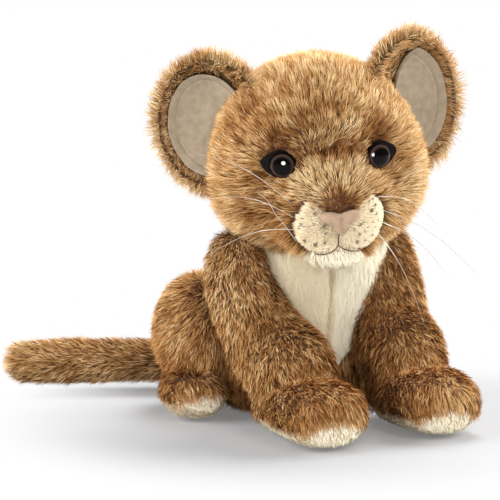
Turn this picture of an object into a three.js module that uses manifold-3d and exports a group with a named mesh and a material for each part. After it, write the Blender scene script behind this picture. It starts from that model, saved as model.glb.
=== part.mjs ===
// Sitting plush lion cub: skins sewn from fur-fabric panels over loose fibre stuffing, a bag of
// pellets in the seat, safety eyes locked by washers, lined ears and nylon whiskers.
// Millimetres, +Z up. The lion faces -Y and its own left side is +X.
// The origin is the middle of the flat seat.
import * as THREE from 'three';
import { mergeVertices } from 'three/addons/utils/BufferGeometryUtils.js';
import Module from 'manifold-3d';

const wasm = await Module();
wasm.setup();

// Fabric, clearances and cuts
const pileHeight = 5.4;
const backingThickness = 1.2;
const furWall = pileHeight + backingThickness;
const seamGap = 0.3;
const turningGap = 0.7;
const sweepGap = 1.0;
const floorCut = 0.5;
const cutOverrun = 60;
const weldTolerance = 0.001;

// Fineness, as sides round a form and rows or sections along it
const ballSides = 20;
const ballInnerSides = 12;
const ballRowShare = 0.7;
const headSides = 24;
const headRows = 18;
const headInnerSides = 14;
const headInnerRows = 10;
const earSides = 22;
const legSides = 14;
const limbInside = { sections: 6, sides: 8 };

// Torso, a pear that leans forward from the seat to the neck
const torsoHeight = 126;
const hipHalfWidth = 56;
const hipHalfDepth = 48;
const torsoLean = 34;
// How much of its full size the flat seat keeps
const seatRoundingShare = 0.72;
// Height, half-width, half-depth and lean of each station
const torsoShares = [
  [0, 0.95, 0.94, 0],
  [0.15, 1, 1, 0.02],
  [0.3, 1, 1, 0.16],
  [0.45, 0.96, 0.95, 0.38],
  [0.6, 0.9, 0.88, 0.62],
  [0.75, 0.86, 0.83, 0.82],
  [0.88, 0.82, 0.78, 0.93],
  [1, 0.76, 0.7, 1],
];
const bibHalfWidth = 41;
const bibTopShare = 0.89;
const bibBottomShare = 0.24;
// Half-width and height of the bib's edge, from its top corner down to its point
const bibShares = [[1, 1], [0.92, 0.72], [0.66, 0.4], [0.34, 0.14], [0.12, 0]];
const bibDepth = 26;
const pelletBagHeight = 24;

// Neck, a stuffed ball between torso and head
const neckRadius = 30;
const neckOpening = 16;
const neckSink = 2;
const neckPivot = new THREE.Vector3(0, -torsoLean, torsoHeight - neckSink);
const neckTurnRange = [-20, 0, 20, 35];
const neckNodRange = [-10, 0, 12];

// Head, a ball pushed out at muzzle, chin, cheeks and brow. Every angle here is in degrees.
const headHalfWidth = 59;
const headHalfDepth = 53;
const crownHeight = 58.5;
const jawDepth = 58;
const headRise = 34;
const headForward = 6;
const headRestTurnAngle = -17;
const headRestTiltAngle = -4;
const headRestNodAngle = 3;
const muzzleReach = 20;
const muzzleDipAngle = 24;
const muzzleSpreadAngle = 27;
// The two pads of the muzzle, one each side of the cleft below the nose
const padSwell = 3.5;
const padTurnAngle = 16;
const padDipAngle = 36;
const padSpreadAngle = 11.5;
const chinReach = 6;
const chinDipAngle = 47;
const chinSpreadAngle = 17;
const cheekSwell = 6;
const cheekTurnAngle = 66;
const cheekDipAngle = 34;
const cheekSpreadAngle = 40;
const browSwell = 3;
const browTurnAngle = 27;
const browLiftAngle = 26;
const browSpreadAngle = 20;
const bridgeHollow = 2.5;
const bridgeLiftAngle = 8;
const bridgeSpreadAngle = 14;
const lobePower = 3;

// Muzzle patches and chin patch, outlines across and up from the head's middle
const patchWidths = { left: 30, right: 25 };
const patchTop = -14;
const patchBottom = -50;
const patchShares = [
  [0, 0.7], [0.2, 0.9], [0.47, 1], [0.8, 0.9], [0.97, 0.62], [0.86, 0.24], [0.47, 0], [0, 0.28],
];
const patchDepth = 36;
const chinHalfWidth = 18;
const chinTop = -39;
const chinBottom = -66;
const chinShares = [[0, 1], [0.7, 0.6], [1, 0.4], [0.62, 0.08], [0, 0]];
const chinDepth = 34;

// Nose, an inverted triangle of suede with round corners
const noseHalfWidth = 12;
const noseHeight = 13.5;
const noseThickness = 4.5;
const noseBevel = 1.6;
const noseSink = 3;
const noseDipAngle = 20.5;
const noseTiltAngle = 12;
// How far across and how far down the curve of each side is drawn
const noseSideShares = [0.8, 0.3];

// Eyes: a domed button on a shank, a felt surround and a washer inside
const eyeRadius = 8;
const eyeDome = 5.5;
const eyeTurnAngle = 31;
const eyeLiftAngle = 6;
const eyeFacingAngle = 17;
const eyeSink = 3.6;
const shankRadius = 1.7;
const shankLength = 9;
const feltHalfWidth = 12;
const feltHalfHeight = 8.8;
const feltThickness = 0.9;
const feltSlantAngle = 8;
const washerRadius = 6;
const washerThickness = 1.2;
const washerSetback = 3.1;
// Share of a quarter turn at each ring of the dome, from its rim up
const eyeDomeShares = [0, 0.25, 0.5, 0.72, 0.88];

// Ears: a furry cup with a rolled rim, lined with velour
const earRadius = 41;
const earWidthShare = 0.87;
const earAcross = 57;
const earBack = 6;
const earUp = 25;
const earTurnAngle = 30;
const earLiftAngle = 4;
const liningThickness = 1.4;
const liningHalfHeight = 31;
// Half-width of each lining and how far it lies outwards. Fur is folded over the left one's inner side.
const liningWidths = { left: [14.5, 14.5], right: [23, 6] };
const earFoldRange = [-10, 0, 20];
// Radius and depth of the cup's section, from the middle of its back round the rim to its inside
const earCupShares = [
  [0, -0.4], [0.35, -0.36], [0.68, -0.24], [0.92, -0.02], [1, 0.14], [0.95, 0.23],
  [0.88, 0.24], [0.81, 0.18], [0.77, 0.08], [0.6, -0.08], [0.32, -0.19], [0, -0.23],
];
const liningShares = [[0, -0.23], [0.32, -0.19], [0.59, -0.085], [0.75, 0.06]];

// Whiskers, in degrees at the root and as shares of their reach from there to the tip
const whiskerReach = 66;
const whiskerRadius = 0.35;
const whiskerBow = 7;
const whiskerTurnAngle = 24;
// Root dip, then how far the tip lies outwards, back and up
const rightWhiskerShares = [
  [15, 0.79, 0.22, 0.49], [21, 0.71, 0.3, 0.17], [27, 0.72, 0.26, -0.21], [33, 0.3, 0.02, 0.45],
];
const leftWhiskerShares = [
  [15, 0.55, 0.2, -0.35], [21, 0.87, 0.2, -0.71], [27, 0.61, 0.1, -0.58], [33, 0.41, 0, -0.56],
];
const whiskerStationShares = [0, 0.33, 0.67, 1];

// Front legs: a tapering leg from the shoulder, and a paw along the floor
const shoulderAcross = 43;
const shoulderHeight = 116;
const shoulderForward = 28;
const legHalfWidth = 25.5;
const legHalfDepth = 27;
const pawLength = 80;
const pawHalfWidth = 27;
const pawHalfHeight = 22;
const pawTip = 133.5;
const pawSpread = 37;
const soleFlatShare = 0.88;
const soleHeight = 9;
const soleSetback = 12;
const shoulderPivotDrop = 28;
// How far each shoulder is pressed in towards the chest
const shoulderTucks = { left: 6, right: -2 };
const frontLegRange = [0, 12.5, 25];
const legOverPawShare = 0.25;
// Across, forward and height of the leg's middle line, and its half-width and half-depth
const legShares = [
  [0.94, 0, 1, 0.9, 0.88],
  [1.04, 0.2, 0.72, 1, 1],
  [1, 0.55, 0.46, 1, 0.96],
  [1, 0.98, 0.33, 1.04, 1.02],
  [1, 1.5, 0.21, 0.98, 0.8],
];
const pawStationShares = [0, 0.35, 0.7, 1];
const pawGirthShares = [0.9, 0.96, 1.02, 1];

// Hind legs: a round haunch and a foot beside the body
const haunchAcross = 53;
const haunchBack = 12;
const haunchUp = 45;
const haunchHalfWidth = 27;
const haunchHalfDepth = 37;
const haunchHalfHeight = 39;
const footAcross = 67;
const footLength = 52;
const footHeel = 22;
const footHalfWidth = 21;
const footHalfHeight = 18;
const footToeOut = 9;
const hipInset = 10;
const hipBackShare = 0.7;
const hindLegRange = [0, 10, 20];
const footStationShares = [0, 0.4, 0.75, 1];
const footGirthShares = [0.88, 0.96, 1.02, 1];

// Tail: a straight stuffed rod lying out to the lion's right
const tailRadius = 13.8;
const tailReach = 132;
const tailBack = 113;
const tailRootBack = 40;
const tailRootUp = 19.5;
const tailTipUp = 18;
const tailBallRadius = 16;
const tailSwingRange = [-100, -75, -50, -25, 0, 10];
// Across, back and height of the tail's middle line between its root and its tip
const tailShares = [[0, 0, 1], [0.1, 0.2, 0.8], [0.35, 0.45, 0.4], [0.67, 0.72, 0.1], [1, 1, 0]];
const tailGirthShares = [1.02, 1, 0.94, 0.96, 1.04];

const degrees = THREE.MathUtils.degToRad;
const point = (x, y, z) => new THREE.Vector3(x, y, z);
const mirrored = { left: 1, right: -1 };

/** Turns a three.js geometry into a solid: shared corners are welded and its faces point out. */
function solid(geometry) {
  const bare = geometry.clone();
  bare.deleteAttribute('normal');
  bare.deleteAttribute('uv');
  const welded = mergeVertices(bare, weldTolerance);
  const corners = welded.attributes.position;
  const faces = [];
  let volume = 0;
  const [a, b, c] = [point(), point(), point()];
  for (let i = 0; i < welded.index.count; i += 3) {
    const face = [0, 1, 2].map((k) => welded.index.getX(i + k));
    if (new Set(face).size < face.length) continue;
    [a, b, c].forEach((corner, k) => corner.fromBufferAttribute(corners, face[k]));
    volume += a.dot(b.cross(c));
    faces.push(face);
  }
  if (volume < 0) faces.forEach((face) => face.reverse());
  return new wasm.Manifold(new wasm.Mesh({
    numProp: 3,
    vertProperties: Float32Array.from(corners.array),
    triVerts: Uint32Array.from(faces.flat()),
  }));
}

/** Closes a stack of rings with a fan at each pole. */
function ringGeometry(rings, firstPole, lastPole) {
  const sides = rings[0].length;
  const corners = [...rings.flat(), firstPole, lastPole];
  const faces = [];
  for (let j = 0; j < sides; j += 1) {
    const next = (j + 1) % sides;
    for (let i = 0; i + 1 < rings.length; i += 1) {
      const [here, above] = [i * sides, (i + 1) * sides];
      faces.push(here + j, here + next, above + next, here + j, above + next, above + j);
    }
    const top = (rings.length - 1) * sides;
    faces.push(corners.length - 2, next, j, corners.length - 1, top + j, top + next);
  }
  const geometry = new THREE.BufferGeometry().setFromPoints(corners);
  geometry.setIndex(faces);
  return geometry;
}

const rounded = (value, power) => Math.sign(value) * Math.abs(value) ** (2 / power);

/**
 * A stuffed form. Super-elliptical sections are carried along a smooth path; a super-ellipse along
 * its length rounds both ends, and a flat share below 1 flattens the underside of a section.
 * An inset draws the whole form in, for the inside of the fabric and for the stuffing.
 */
function stuffedForm(form, inset = 0) {
  const { path, girths, across, sections, sides } = form;
  const { power = 2.3, endPower = 4, startShare = 0, level = false } = form;
  const middle = new THREE.CatmullRomCurve3(path);
  const girth = new THREE.CatmullRomCurve3(girths.map((sizes) => point(...sizes)));
  const rings = [];
  for (let k = startShare ? 0 : 1; k < sections; k += 1) {
    const along = (1 - Math.cos(Math.PI * k / sections)) / 2;
    const rounding = Math.max(startShare * (1 - along),
      Math.max(0, 1 - Math.abs(2 * along - 1) ** endPower) ** (1 / endPower));
    const ahead = level ? point(0, 0, 1) : middle.getTangent(along);
    const sideways = across.clone().addScaledVector(ahead, -across.dot(ahead)).normalize();
    const upwards = sideways.clone().cross(ahead).negate();
    const size = girth.getPoint(along);
    const centre = middle.getPoint(along).addScaledVector(ahead, inset * (1 - 2 * along));
    const ring = [];
    for (let j = 0; j < sides; j += 1) {
      const angle = 2 * Math.PI * j / sides;
      const wide = rounded(Math.cos(angle), power) * (size.x - inset) * rounding;
      const high = rounded(Math.sin(angle), power) * (size.y - inset) * rounding;
      const lowest = inset - size.z * size.y;
      ring.push(centre.clone().addScaledVector(sideways, wide)
        .addScaledVector(upwards, Math.max(high, lowest)));
    }
    rings.push(ring);
  }
  const ends = [0, 1].map((along) => {
    const ahead = level ? point(0, 0, 1) : middle.getTangent(along);
    return middle.getPoint(along).addScaledVector(ahead, inset * (1 - 2 * along));
  });
  return solid(ringGeometry(rings, ...ends));
}

/** A ball stretched to three half-sizes, drawn in by an inset, with its poles up and down. */
function ellipsoid(centre, halfSizes, sides, rows, inset = 0) {
  const ball = new THREE.SphereGeometry(1, sides, rows).rotateX(Math.PI / 2);
  ball.scale(halfSizes.x - inset, halfSizes.y - inset, halfSizes.z - inset);
  return solid(ball.translate(centre.x, centre.y, centre.z));
}

const ball = (centre, radius, sides = ballSides) =>
  ellipsoid(centre, point(radius, radius, radius), sides, Math.round(sides * ballRowShare));

/** A box from its lowest to its highest corner. */
function boxBetween(low, high) {
  const size = high.clone().sub(low);
  const centre = high.clone().add(low).multiplyScalar(0.5);
  return solid(new THREE.BoxGeometry(size.x, size.y, size.z).translate(centre.x, centre.y, centre.z));
}

/** A prism whose outline lies in the plane across and up, from one depth to another along Y. */
function prism(outline, front, back) {
  const extruded = new THREE.ExtrudeGeometry(new THREE.Shape(outline), {
    depth: back - front, bevelEnabled: false, curveSegments: 4,
  });
  return solid(extruded.rotateX(Math.PI / 2).translate(0, back, 0));
}

/** Moves every edge of a closed outline outwards by a spare, with mitred corners. */
function grown(outline, spare) {
  const outwards = Math.sign(THREE.ShapeUtils.area(outline));
  const normalOf = (from, to) => new THREE.Vector2(to.y - from.y, from.x - to.x).normalize();
  return outline.map((corner, k) => {
    const before = normalOf(outline.at(k - 1), corner);
    const after = normalOf(corner, outline[(k + 1) % outline.length]);
    const mitre = before.clone().add(after).divideScalar(1 + before.dot(after));
    return corner.clone().addScaledVector(mitre, outwards * spare);
  });
}

/** Turns a solid about an axis through a pivot. */
function turned(shape, axis, pivot, angle) {
  const matrix = new THREE.Matrix4().makeTranslation(pivot.x, pivot.y, pivot.z)
    .multiply(new THREE.Matrix4().makeRotationAxis(axis, degrees(angle)))
    .multiply(new THREE.Matrix4().makeTranslation(-pivot.x, -pivot.y, -pivot.z));
  return shape.transform(matrix.elements);
}

/** Cuts a moving piece by its neighbour at each angle of its range. */
function clearOf(shape, neighbour, axis, pivot, range) {
  return range.reduce((left, angle) => left.subtract(turned(neighbour, axis, pivot, -angle)), shape);
}

/** The largest body of a cut solid, without crumbs. */
function mainBody(shape) {
  return shape.decompose().sort((one, other) => other.volume() - one.volume())[0];
}

/** Puts a solid into the scene as a named mesh with its material. */
function addPiece(parent, name, shape, finish) {
  const { vertProperties, triVerts } = mainBody(shape).getMesh();
  const geometry = new THREE.BufferGeometry();
  geometry.setAttribute('position', new THREE.BufferAttribute(Float32Array.from(vertProperties), 3));
  geometry.setIndex(Array.from(triVerts));
  geometry.computeVertexNormals();
  const mesh = new THREE.Mesh(geometry, new THREE.MeshStandardMaterial(finish));
  mesh.name = name;
  parent.add(mesh);
}

const brownFur = { color: 0xa9733f, roughness: 0.95, metalness: 0 };
const creamPlush = { color: 0xe6d3b0, roughness: 0.95, metalness: 0 };
const fibre = { color: 0xf1efe9, roughness: 1, metalness: 0 };
const pelletCloth = { color: 0xdedbd2, roughness: 0.9, metalness: 0 };
const noseSuede = { color: 0xc08f7c, roughness: 0.8, metalness: 0 };
const eyePlastic = { color: 0x120c09, roughness: 0.08, metalness: 0 };
const washerPlastic = { color: 0xdcdcda, roughness: 0.5, metalness: 0 };
const blackFelt = { color: 0x16110f, roughness: 1, metalness: 0 };
const velour = { color: 0xb3a594, roughness: 0.9, metalness: 0 };
const nylon = { color: 0xe9dcc6, roughness: 0.35, metalness: 0 };

const floor = boxBetween(
  point(-cutOverrun - tailReach, -cutOverrun - pawTip, -cutOverrun),
  point(cutOverrun + tailReach, cutOverrun + tailBack, 0));

// Torso
const torso = {
  path: torsoShares.map(([height, , , lean]) => point(
    0, -lean * torsoLean, height * torsoHeight - floorCut)),
  girths: torsoShares.map(([, wide, deep]) => [wide * hipHalfWidth, deep * hipHalfDepth, 1]),
  across: point(1, 0, 0),
  sections: 13,
  sides: 22,
  endPower: 5,
  startShare: seatRoundingShare,
  level: true,
};
const torsoInside = { ...torso, sections: 8, sides: 12 };
const torsoOuter = stuffedForm(torso);
const torsoRoom = stuffedForm(torso, -seamGap);
const torsoSweepRoom = stuffedForm(torso, -sweepGap);

// Head form, worked out about the middle of the head
const headCentre = point(0, -headForward, headRise);

function facing(turn, lift) {
  const [t, l] = [degrees(turn), degrees(lift)];
  return point(Math.sin(t) * Math.cos(l), -Math.cos(t) * Math.cos(l), Math.sin(l));
}

function lobe(direction, turn, lift, spread) {
  const away = direction.angleTo(facing(turn, lift)) / degrees(spread);
  return Math.exp(-(away ** lobePower));
}

/** Distance from the middle of the head to its surface: an ellipsoid with smooth swellings. */
function headRadius(direction) {
  const upright = direction.z > 0 ? crownHeight : jawDepth;
  const plain = 1 / Math.hypot(
    direction.x / headHalfWidth, direction.y / headHalfDepth, direction.z / upright);
  return plain
    + muzzleReach * lobe(direction, 0, -muzzleDipAngle, muzzleSpreadAngle)
    + padSwell * (lobe(direction, padTurnAngle, -padDipAngle, padSpreadAngle)
      + lobe(direction, -padTurnAngle, -padDipAngle, padSpreadAngle))
    + chinReach * lobe(direction, 0, -chinDipAngle, chinSpreadAngle)
    - bridgeHollow * lobe(direction, 0, bridgeLiftAngle, bridgeSpreadAngle)
    + cheekSwell * (lobe(direction, cheekTurnAngle, -cheekDipAngle, cheekSpreadAngle)
      + lobe(direction, -cheekTurnAngle, -cheekDipAngle, cheekSpreadAngle))
    + browSwell * (lobe(direction, browTurnAngle, browLiftAngle, browSpreadAngle)
      + lobe(direction, -browTurnAngle, browLiftAngle, browSpreadAngle));
}

/** The head as rings about the axis of the muzzle, drawn in by an inset. */
function headForm(inset, sides, rows) {
  const pole = facing(0, -muzzleDipAngle);
  const across = point(1, 0, 0);
  const upwards = across.clone().cross(pole).negate();
  const onSurface = (direction) =>
    direction.clone().multiplyScalar(headRadius(direction) - inset).add(headCentre);
  const rings = [];
  for (let i = 1; i < rows; i += 1) {
    const [along, out] = [Math.cos(Math.PI * i / rows), Math.sin(Math.PI * i / rows)];
    const ring = [];
    for (let j = 0; j < sides; j += 1) {
      const angle = 2 * Math.PI * j / sides;
      const direction = pole.clone().multiplyScalar(along)
        .addScaledVector(across, out * Math.cos(angle))
        .addScaledVector(upwards, out * Math.sin(angle)).normalize();
      ring.push(onSurface(direction));
    }
    rings.push(ring);
  }
  return solid(ringGeometry(rings, onSurface(pole), onSurface(pole.clone().negate())));
}

const headOuter = headForm(0, headSides, headRows);
const headRoom = headForm(-seamGap, headSides, headRows);
const headSweepRoom = headForm(-sweepGap, headSides, headRows);
const headShell = headOuter.subtract(headForm(furWall, headInnerSides, headInnerRows));

const lion = new THREE.Group();
const headGroup = new THREE.Group();
headGroup.position.copy(neckPivot);
headGroup.rotation.set(
  degrees(headRestNodAngle), degrees(headRestTiltAngle), degrees(headRestTurnAngle), 'ZYX');
lion.add(headGroup);
lion.updateMatrixWorld(true);
const nodAxis = point(1, 0, 0).applyAxisAngle(point(0, 0, 1), degrees(headRestTurnAngle));
const uprightAxis = point(0, 0, 1);

// Every place that the head can reach, for what it must not touch
const headAtRest = headSweepRoom.transform(headGroup.matrixWorld.elements);
const headAt = (turn, nod) =>
  turned(turned(headAtRest, nodAxis, neckPivot, nod), uprightAxis, neckPivot, turn);
const headReach = neckTurnRange.flatMap((turn) => neckNodRange.map((nod) => headAt(turn, nod)))
  .reduce((whole, pose) => whole.add(pose));
// A raised leg clears the head at rest, and bowed and turned as far as it goes
const headOverRaisedLeg = headAtRest.add(headAt(neckTurnRange.at(-1), neckNodRange.at(-1)));

// Neck
const neckBall = ball(neckPivot, neckRadius);
const neckRoom = ball(neckPivot, neckRadius + turningGap);
const neckBore = (radius) => solid(
  new THREE.CylinderGeometry(radius, radius, neckRadius * 2 + cutOverrun, ballInnerSides)
    .rotateX(Math.PI / 2).translate(neckPivot.x, neckPivot.y, neckPivot.z));
addPiece(lion, 'neck_skin',
  neckBall.subtract(ball(neckPivot, neckRadius - furWall, ballInnerSides))
    .subtract(neckBore(neckOpening)), brownFur);
addPiece(lion, 'neck_stuffing',
  ball(neckPivot, neckRadius - furWall - seamGap, ballInnerSides)
    .add(neckBall.intersect(neckBore(neckOpening - seamGap))), fibre);

// Tail
const tailRoot = point(0, tailRootBack, tailRootUp);
const tailPath = tailShares.map(([out, back, up]) => point(
  -out * tailReach,
  tailRootBack + back * (tailBack - tailRootBack),
  tailTipUp + up * (tailRootUp - tailTipUp)));
const tail = {
  path: tailPath,
  girths: tailGirthShares.map((share) => [share * tailRadius, share * tailRadius, 1]),
  across: uprightAxis,
  sections: 11,
  sides: 12,
  power: 2,
  endPower: 8,
};
const tailInside = { ...tail, sections: 8, sides: 8 };
const tailPocket = ball(tailRoot, tailBallRadius + turningGap);
const clearOfRump = (shape) => clearOf(shape, torsoSweepRoom, uprightAxis, tailRoot, tailSwingRange);
const tailLength = clearOfRump(stuffedForm(tail)).add(ball(tailRoot, tailBallRadius));
const tailBore = stuffedForm(tailInside, furWall);
addPiece(lion, 'tail_skin', tailLength.subtract(tailBore), brownFur);
addPiece(lion, 'tail_stuffing',
  tailLength.intersect(stuffedForm(tailInside, furWall + seamGap)), fibre);

// Torso skin, bib, stuffing and pellet bag
const bibEdge = bibShares.map(([wide, high]) => new THREE.Vector2(
  wide * bibHalfWidth, torsoHeight * (bibBottomShare + high * (bibTopShare - bibBottomShare))));
const bibOutline = [
  ...bibEdge, ...bibEdge.map((corner) => new THREE.Vector2(-corner.x, corner.y)).reverse(),
];
const bibBack = -bibDepth;
const bibPrism = (spare) => prism(grown(bibOutline, spare), -pawTip, bibBack + spare);
const torsoCavity = stuffedForm(torsoInside, furWall);
const torsoShell = torsoOuter.subtract(torsoCavity).subtract(floor).subtract(neckRoom)
  .subtract(tailPocket).subtract(headReach);
addPiece(lion, 'torso_skin', torsoShell.subtract(bibPrism(seamGap)), brownFur);
addPiece(lion, 'chest_bib', torsoShell.intersect(bibPrism(0)), creamPlush);
const torsoFill = stuffedForm(torsoInside, furWall + seamGap).subtract(neckRoom)
  .subtract(tailPocket).subtract(headReach);
const belowBag = (height) => boxBetween(
  point(-hipHalfWidth, -hipHalfDepth - torsoLean, -cutOverrun),
  point(hipHalfWidth, hipHalfDepth, height));
addPiece(lion, 'torso_stuffing', torsoFill.subtract(belowBag(pelletBagHeight + seamGap)), fibre);
addPiece(lion, 'pellet_bag', torsoFill.intersect(belowBag(pelletBagHeight)), pelletCloth);

const joined = (forms, inset, coarse = false) => forms
  .map((form) => form(inset, coarse)).reduce((whole, part) => whole.add(part)).subtract(floor);

/** Skin, stuffing and sole of one leg, from its stuffed parts and what it must stay clear of. */
function addLeg(name, forms, fit, sole) {
  const shell = fit(joined(forms, 0).subtract(joined(forms, furWall, true)));
  addPiece(lion, `${name}_skin`, shell.subtract(sole(seamGap)), brownFur);
  addPiece(lion, `${name}_sole`, shell.intersect(sole(0)), creamPlush);
  addPiece(lion, `${name}_stuffing`, fit(joined(forms, furWall + seamGap, true)), fibre);
}

const swingAxis = point(-1, 0, 0);
const pawRest = soleFlatShare * pawHalfHeight - floorCut;

for (const [side, sign] of Object.entries(mirrored)) {
  const pawAcross = sign * pawSpread;
  const shoulder = sign * shoulderAcross;
  const heel = -pawTip + pawLength;
  const legReach = -heel - shoulderForward + pawLength * legOverPawShare;
  const leg = {
    path: legShares.map(([out, ahead, up]) => point(
      out * (shoulder + (pawAcross - shoulder) * ahead) - sign * shoulderTucks[side] * (1 - ahead),
      -shoulderForward - ahead * legReach,
      up * shoulderHeight)),
    girths: legShares.map(([, , , wide, deep]) => [wide * legHalfWidth, deep * legHalfDepth, 1]),
    across: point(1, 0, 0),
    sections: 9,
    sides: legSides,
    endPower: 4.5,
  };
  const paw = {
    path: pawStationShares.map((ahead) => point(pawAcross, heel - ahead * pawLength, pawRest)),
    girths: pawGirthShares.map((share) => [share * pawHalfWidth, pawHalfHeight, soleFlatShare]),
    across: point(1, 0, 0),
    sections: 8,
    sides: legSides,
    endPower: 4.5,
  };
  const pivot = point(shoulder, -shoulderForward, shoulderHeight - shoulderPivotDrop);
  const frontForms = [leg, paw].map((form) => (inset, coarse) =>
    stuffedForm(coarse ? { ...form, ...limbInside } : form, inset));
  addLeg(`front_leg_${side}`, frontForms,
    (shape) => [torsoRoom, headOverRaisedLeg].reduce((left, neighbour) =>
      clearOf(left, neighbour, swingAxis, pivot, frontLegRange), shape.subtract(headReach)),
    (spare) => boxBetween(
      point(pawAcross - legHalfWidth * 2, -pawTip - cutOverrun, -cutOverrun),
      point(pawAcross + legHalfWidth * 2, heel - soleSetback + spare, soleHeight + spare)));

  const splayAxis = point(0, 0, sign);
  const haunchCentre = point(sign * haunchAcross, haunchBack, haunchUp);
  const hip = haunchCentre.clone().add(point(-sign * hipInset, haunchHalfDepth * hipBackShare, 0));
  const haunch = (inset, coarse) => ellipsoid(haunchCentre,
    point(haunchHalfWidth, haunchHalfDepth, haunchHalfHeight), coarse ? 10 : 16, coarse ? 7 : 11, inset);
  const foot = {
    path: footStationShares.map((ahead) => point(
      sign * (footAcross + (ahead - 0.5) * footToeOut),
      footHeel - ahead * footLength,
      soleFlatShare * footHalfHeight - floorCut)),
    girths: footGirthShares.map((share) => [share * footHalfWidth, footHalfHeight, soleFlatShare]),
    across: point(1, 0, 0),
    sections: 7,
    sides: legSides,
    endPower: 3,
  };
  addLeg(`hind_leg_${side}`,
    [haunch, (inset, coarse) => stuffedForm(coarse ? { ...foot, ...limbInside } : foot, inset)],
    (shape) => [torsoRoom, joined(frontForms, -sweepGap)].reduce((left, neighbour) =>
      clearOf(left, neighbour, splayAxis, hip, hindLegRange), shape),
    (spare) => boxBetween(
      point(sign * footAcross - footHalfWidth * 2, footHeel - footLength - cutOverrun, -cutOverrun),
      point(sign * footAcross + footHalfWidth * 2, footHeel - soleSetback + spare, soleHeight + spare)));
}

/** Places a solid that faces +Y at its own origin so that it faces a direction from a point. */
function placedFacing(shape, origin, turn, lift, slant = 0) {
  const ahead = facing(turn, lift);
  const sideways = point(Math.cos(degrees(turn)), Math.sin(degrees(turn)), 0);
  const basis = new THREE.Matrix4().makeBasis(sideways, ahead, sideways.clone().cross(ahead));
  const matrix = new THREE.Matrix4().makeTranslation(origin.x, origin.y, origin.z)
    .multiply(basis).multiply(new THREE.Matrix4().makeRotationY(degrees(slant)));
  return shape.transform(matrix.elements);
}

const revolved = (profile, sides) => solid(new THREE.LatheGeometry(
  profile.map(([radius, height]) => new THREE.Vector2(radius, height)), sides));

/** A plate across its own axis, from one height to another, with a hole where one is asked for. */
function ellipticalPlate(halfWide, halfHigh, low, high, hole = 0) {
  const outline = new THREE.Shape().absellipse(0, 0, halfWide, halfHigh, 0, Math.PI * 2);
  if (hole) outline.holes.push(new THREE.Path().absellipse(0, 0, hole, hole, 0, Math.PI * 2));
  const plate = new THREE.ExtrudeGeometry(outline, {
    depth: high - low, bevelEnabled: false, curveSegments: 6,
  });
  return solid(plate.rotateX(-Math.PI / 2).translate(0, low, 0));
}

const onHead = (turn, lift, sink) =>
  facing(turn, lift).multiplyScalar(headRadius(facing(turn, lift)) - sink).add(headCentre);

// Eyes, measured from the face of the skin under the felt
let headSkin = headShell.subtract(
  neckRoom.transform(headGroup.matrixWorld.clone().invert().elements));
let headFill = headForm(furWall + seamGap, headInnerSides, headInnerRows).subtract(
  neckRoom.transform(headGroup.matrixWorld.clone().invert().elements));
for (const [side, sign] of Object.entries(mirrored)) {
  const seat = onHead(sign * eyeTurnAngle, eyeLiftAngle, eyeSink);
  const place = (shape) => placedFacing(shape, seat, sign * eyeFacingAngle, 0, sign * feltSlantAngle);
  const eyeBase = feltThickness + seamGap * 2;
  const eye = revolved([[0, -shankLength], [shankRadius, -shankLength], [shankRadius, eyeBase],
    ...eyeDomeShares.map((share) => [
      eyeRadius * Math.cos(share * Math.PI / 2), eyeBase + eyeDome * Math.sin(share * Math.PI / 2)]),
    [0, eyeBase + eyeDome]], 20);
  const felt = ellipticalPlate(feltHalfWidth, feltHalfHeight, seamGap, seamGap + feltThickness,
    shankRadius + seamGap);
  const washer = ellipticalPlate(washerRadius, washerRadius, -washerSetback - washerThickness,
    -washerSetback, shankRadius + seamGap);
  const hollow = ellipticalPlate(feltHalfWidth + seamGap, feltHalfHeight + seamGap, 0, cutOverrun)
    .add(revolved([[0, -shankLength - seamGap], [shankRadius + seamGap, -shankLength - seamGap],
      [shankRadius + seamGap, seamGap], [0, seamGap]], 12))
    .add(ellipticalPlate(washerRadius + seamGap, washerRadius + seamGap,
      -washerSetback - washerThickness - seamGap, -washerSetback + seamGap));
  addPiece(headGroup, `eye_${side}`, place(eye), eyePlastic);
  addPiece(headGroup, `eyelid_${side}`, place(felt), blackFelt);
  addPiece(headGroup, `eye_washer_${side}`, place(washer), washerPlastic);
  headSkin = headSkin.subtract(place(hollow));
  headFill = headFill.subtract(place(hollow));
}

// Nose
const noseOutline = (spare) => {
  const [w, top, tip] = [noseHalfWidth + spare, noseHeight / 2 + spare, -noseHeight / 2 - spare];
  const [out, down] = [w * noseSideShares[0], tip * noseSideShares[1]];
  return new THREE.Shape().moveTo(0, top).quadraticCurveTo(w, top, w, top / 2)
    .quadraticCurveTo(out, down, 0, tip).quadraticCurveTo(-out, down, -w, top / 2)
    .quadraticCurveTo(-w, top, 0, top);
};
const noseSeat = onHead(0, -noseDipAngle, noseSink);
const noseSolid = (depth, bevelThickness, spare, bevelSegments) => solid(
  new THREE.ExtrudeGeometry(noseOutline(-noseBevel), {
    depth, bevelThickness, bevelSize: noseBevel + spare, bevelSegments, curveSegments: 5,
  }).rotateX(-Math.PI / 2));
const nosePad = noseSolid(noseThickness - noseBevel, noseBevel, 0, 3)
  .translate([0, noseBevel + seamGap, 0]);
const noseHollow = noseSolid(cutOverrun, seamGap, seamGap, 1);
const placeNose = (shape) => placedFacing(shape, noseSeat, 0, noseTiltAngle - noseDipAngle);
addPiece(headGroup, 'nose', placeNose(nosePad), noseSuede);
headSkin = headSkin.subtract(placeNose(noseHollow));

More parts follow.
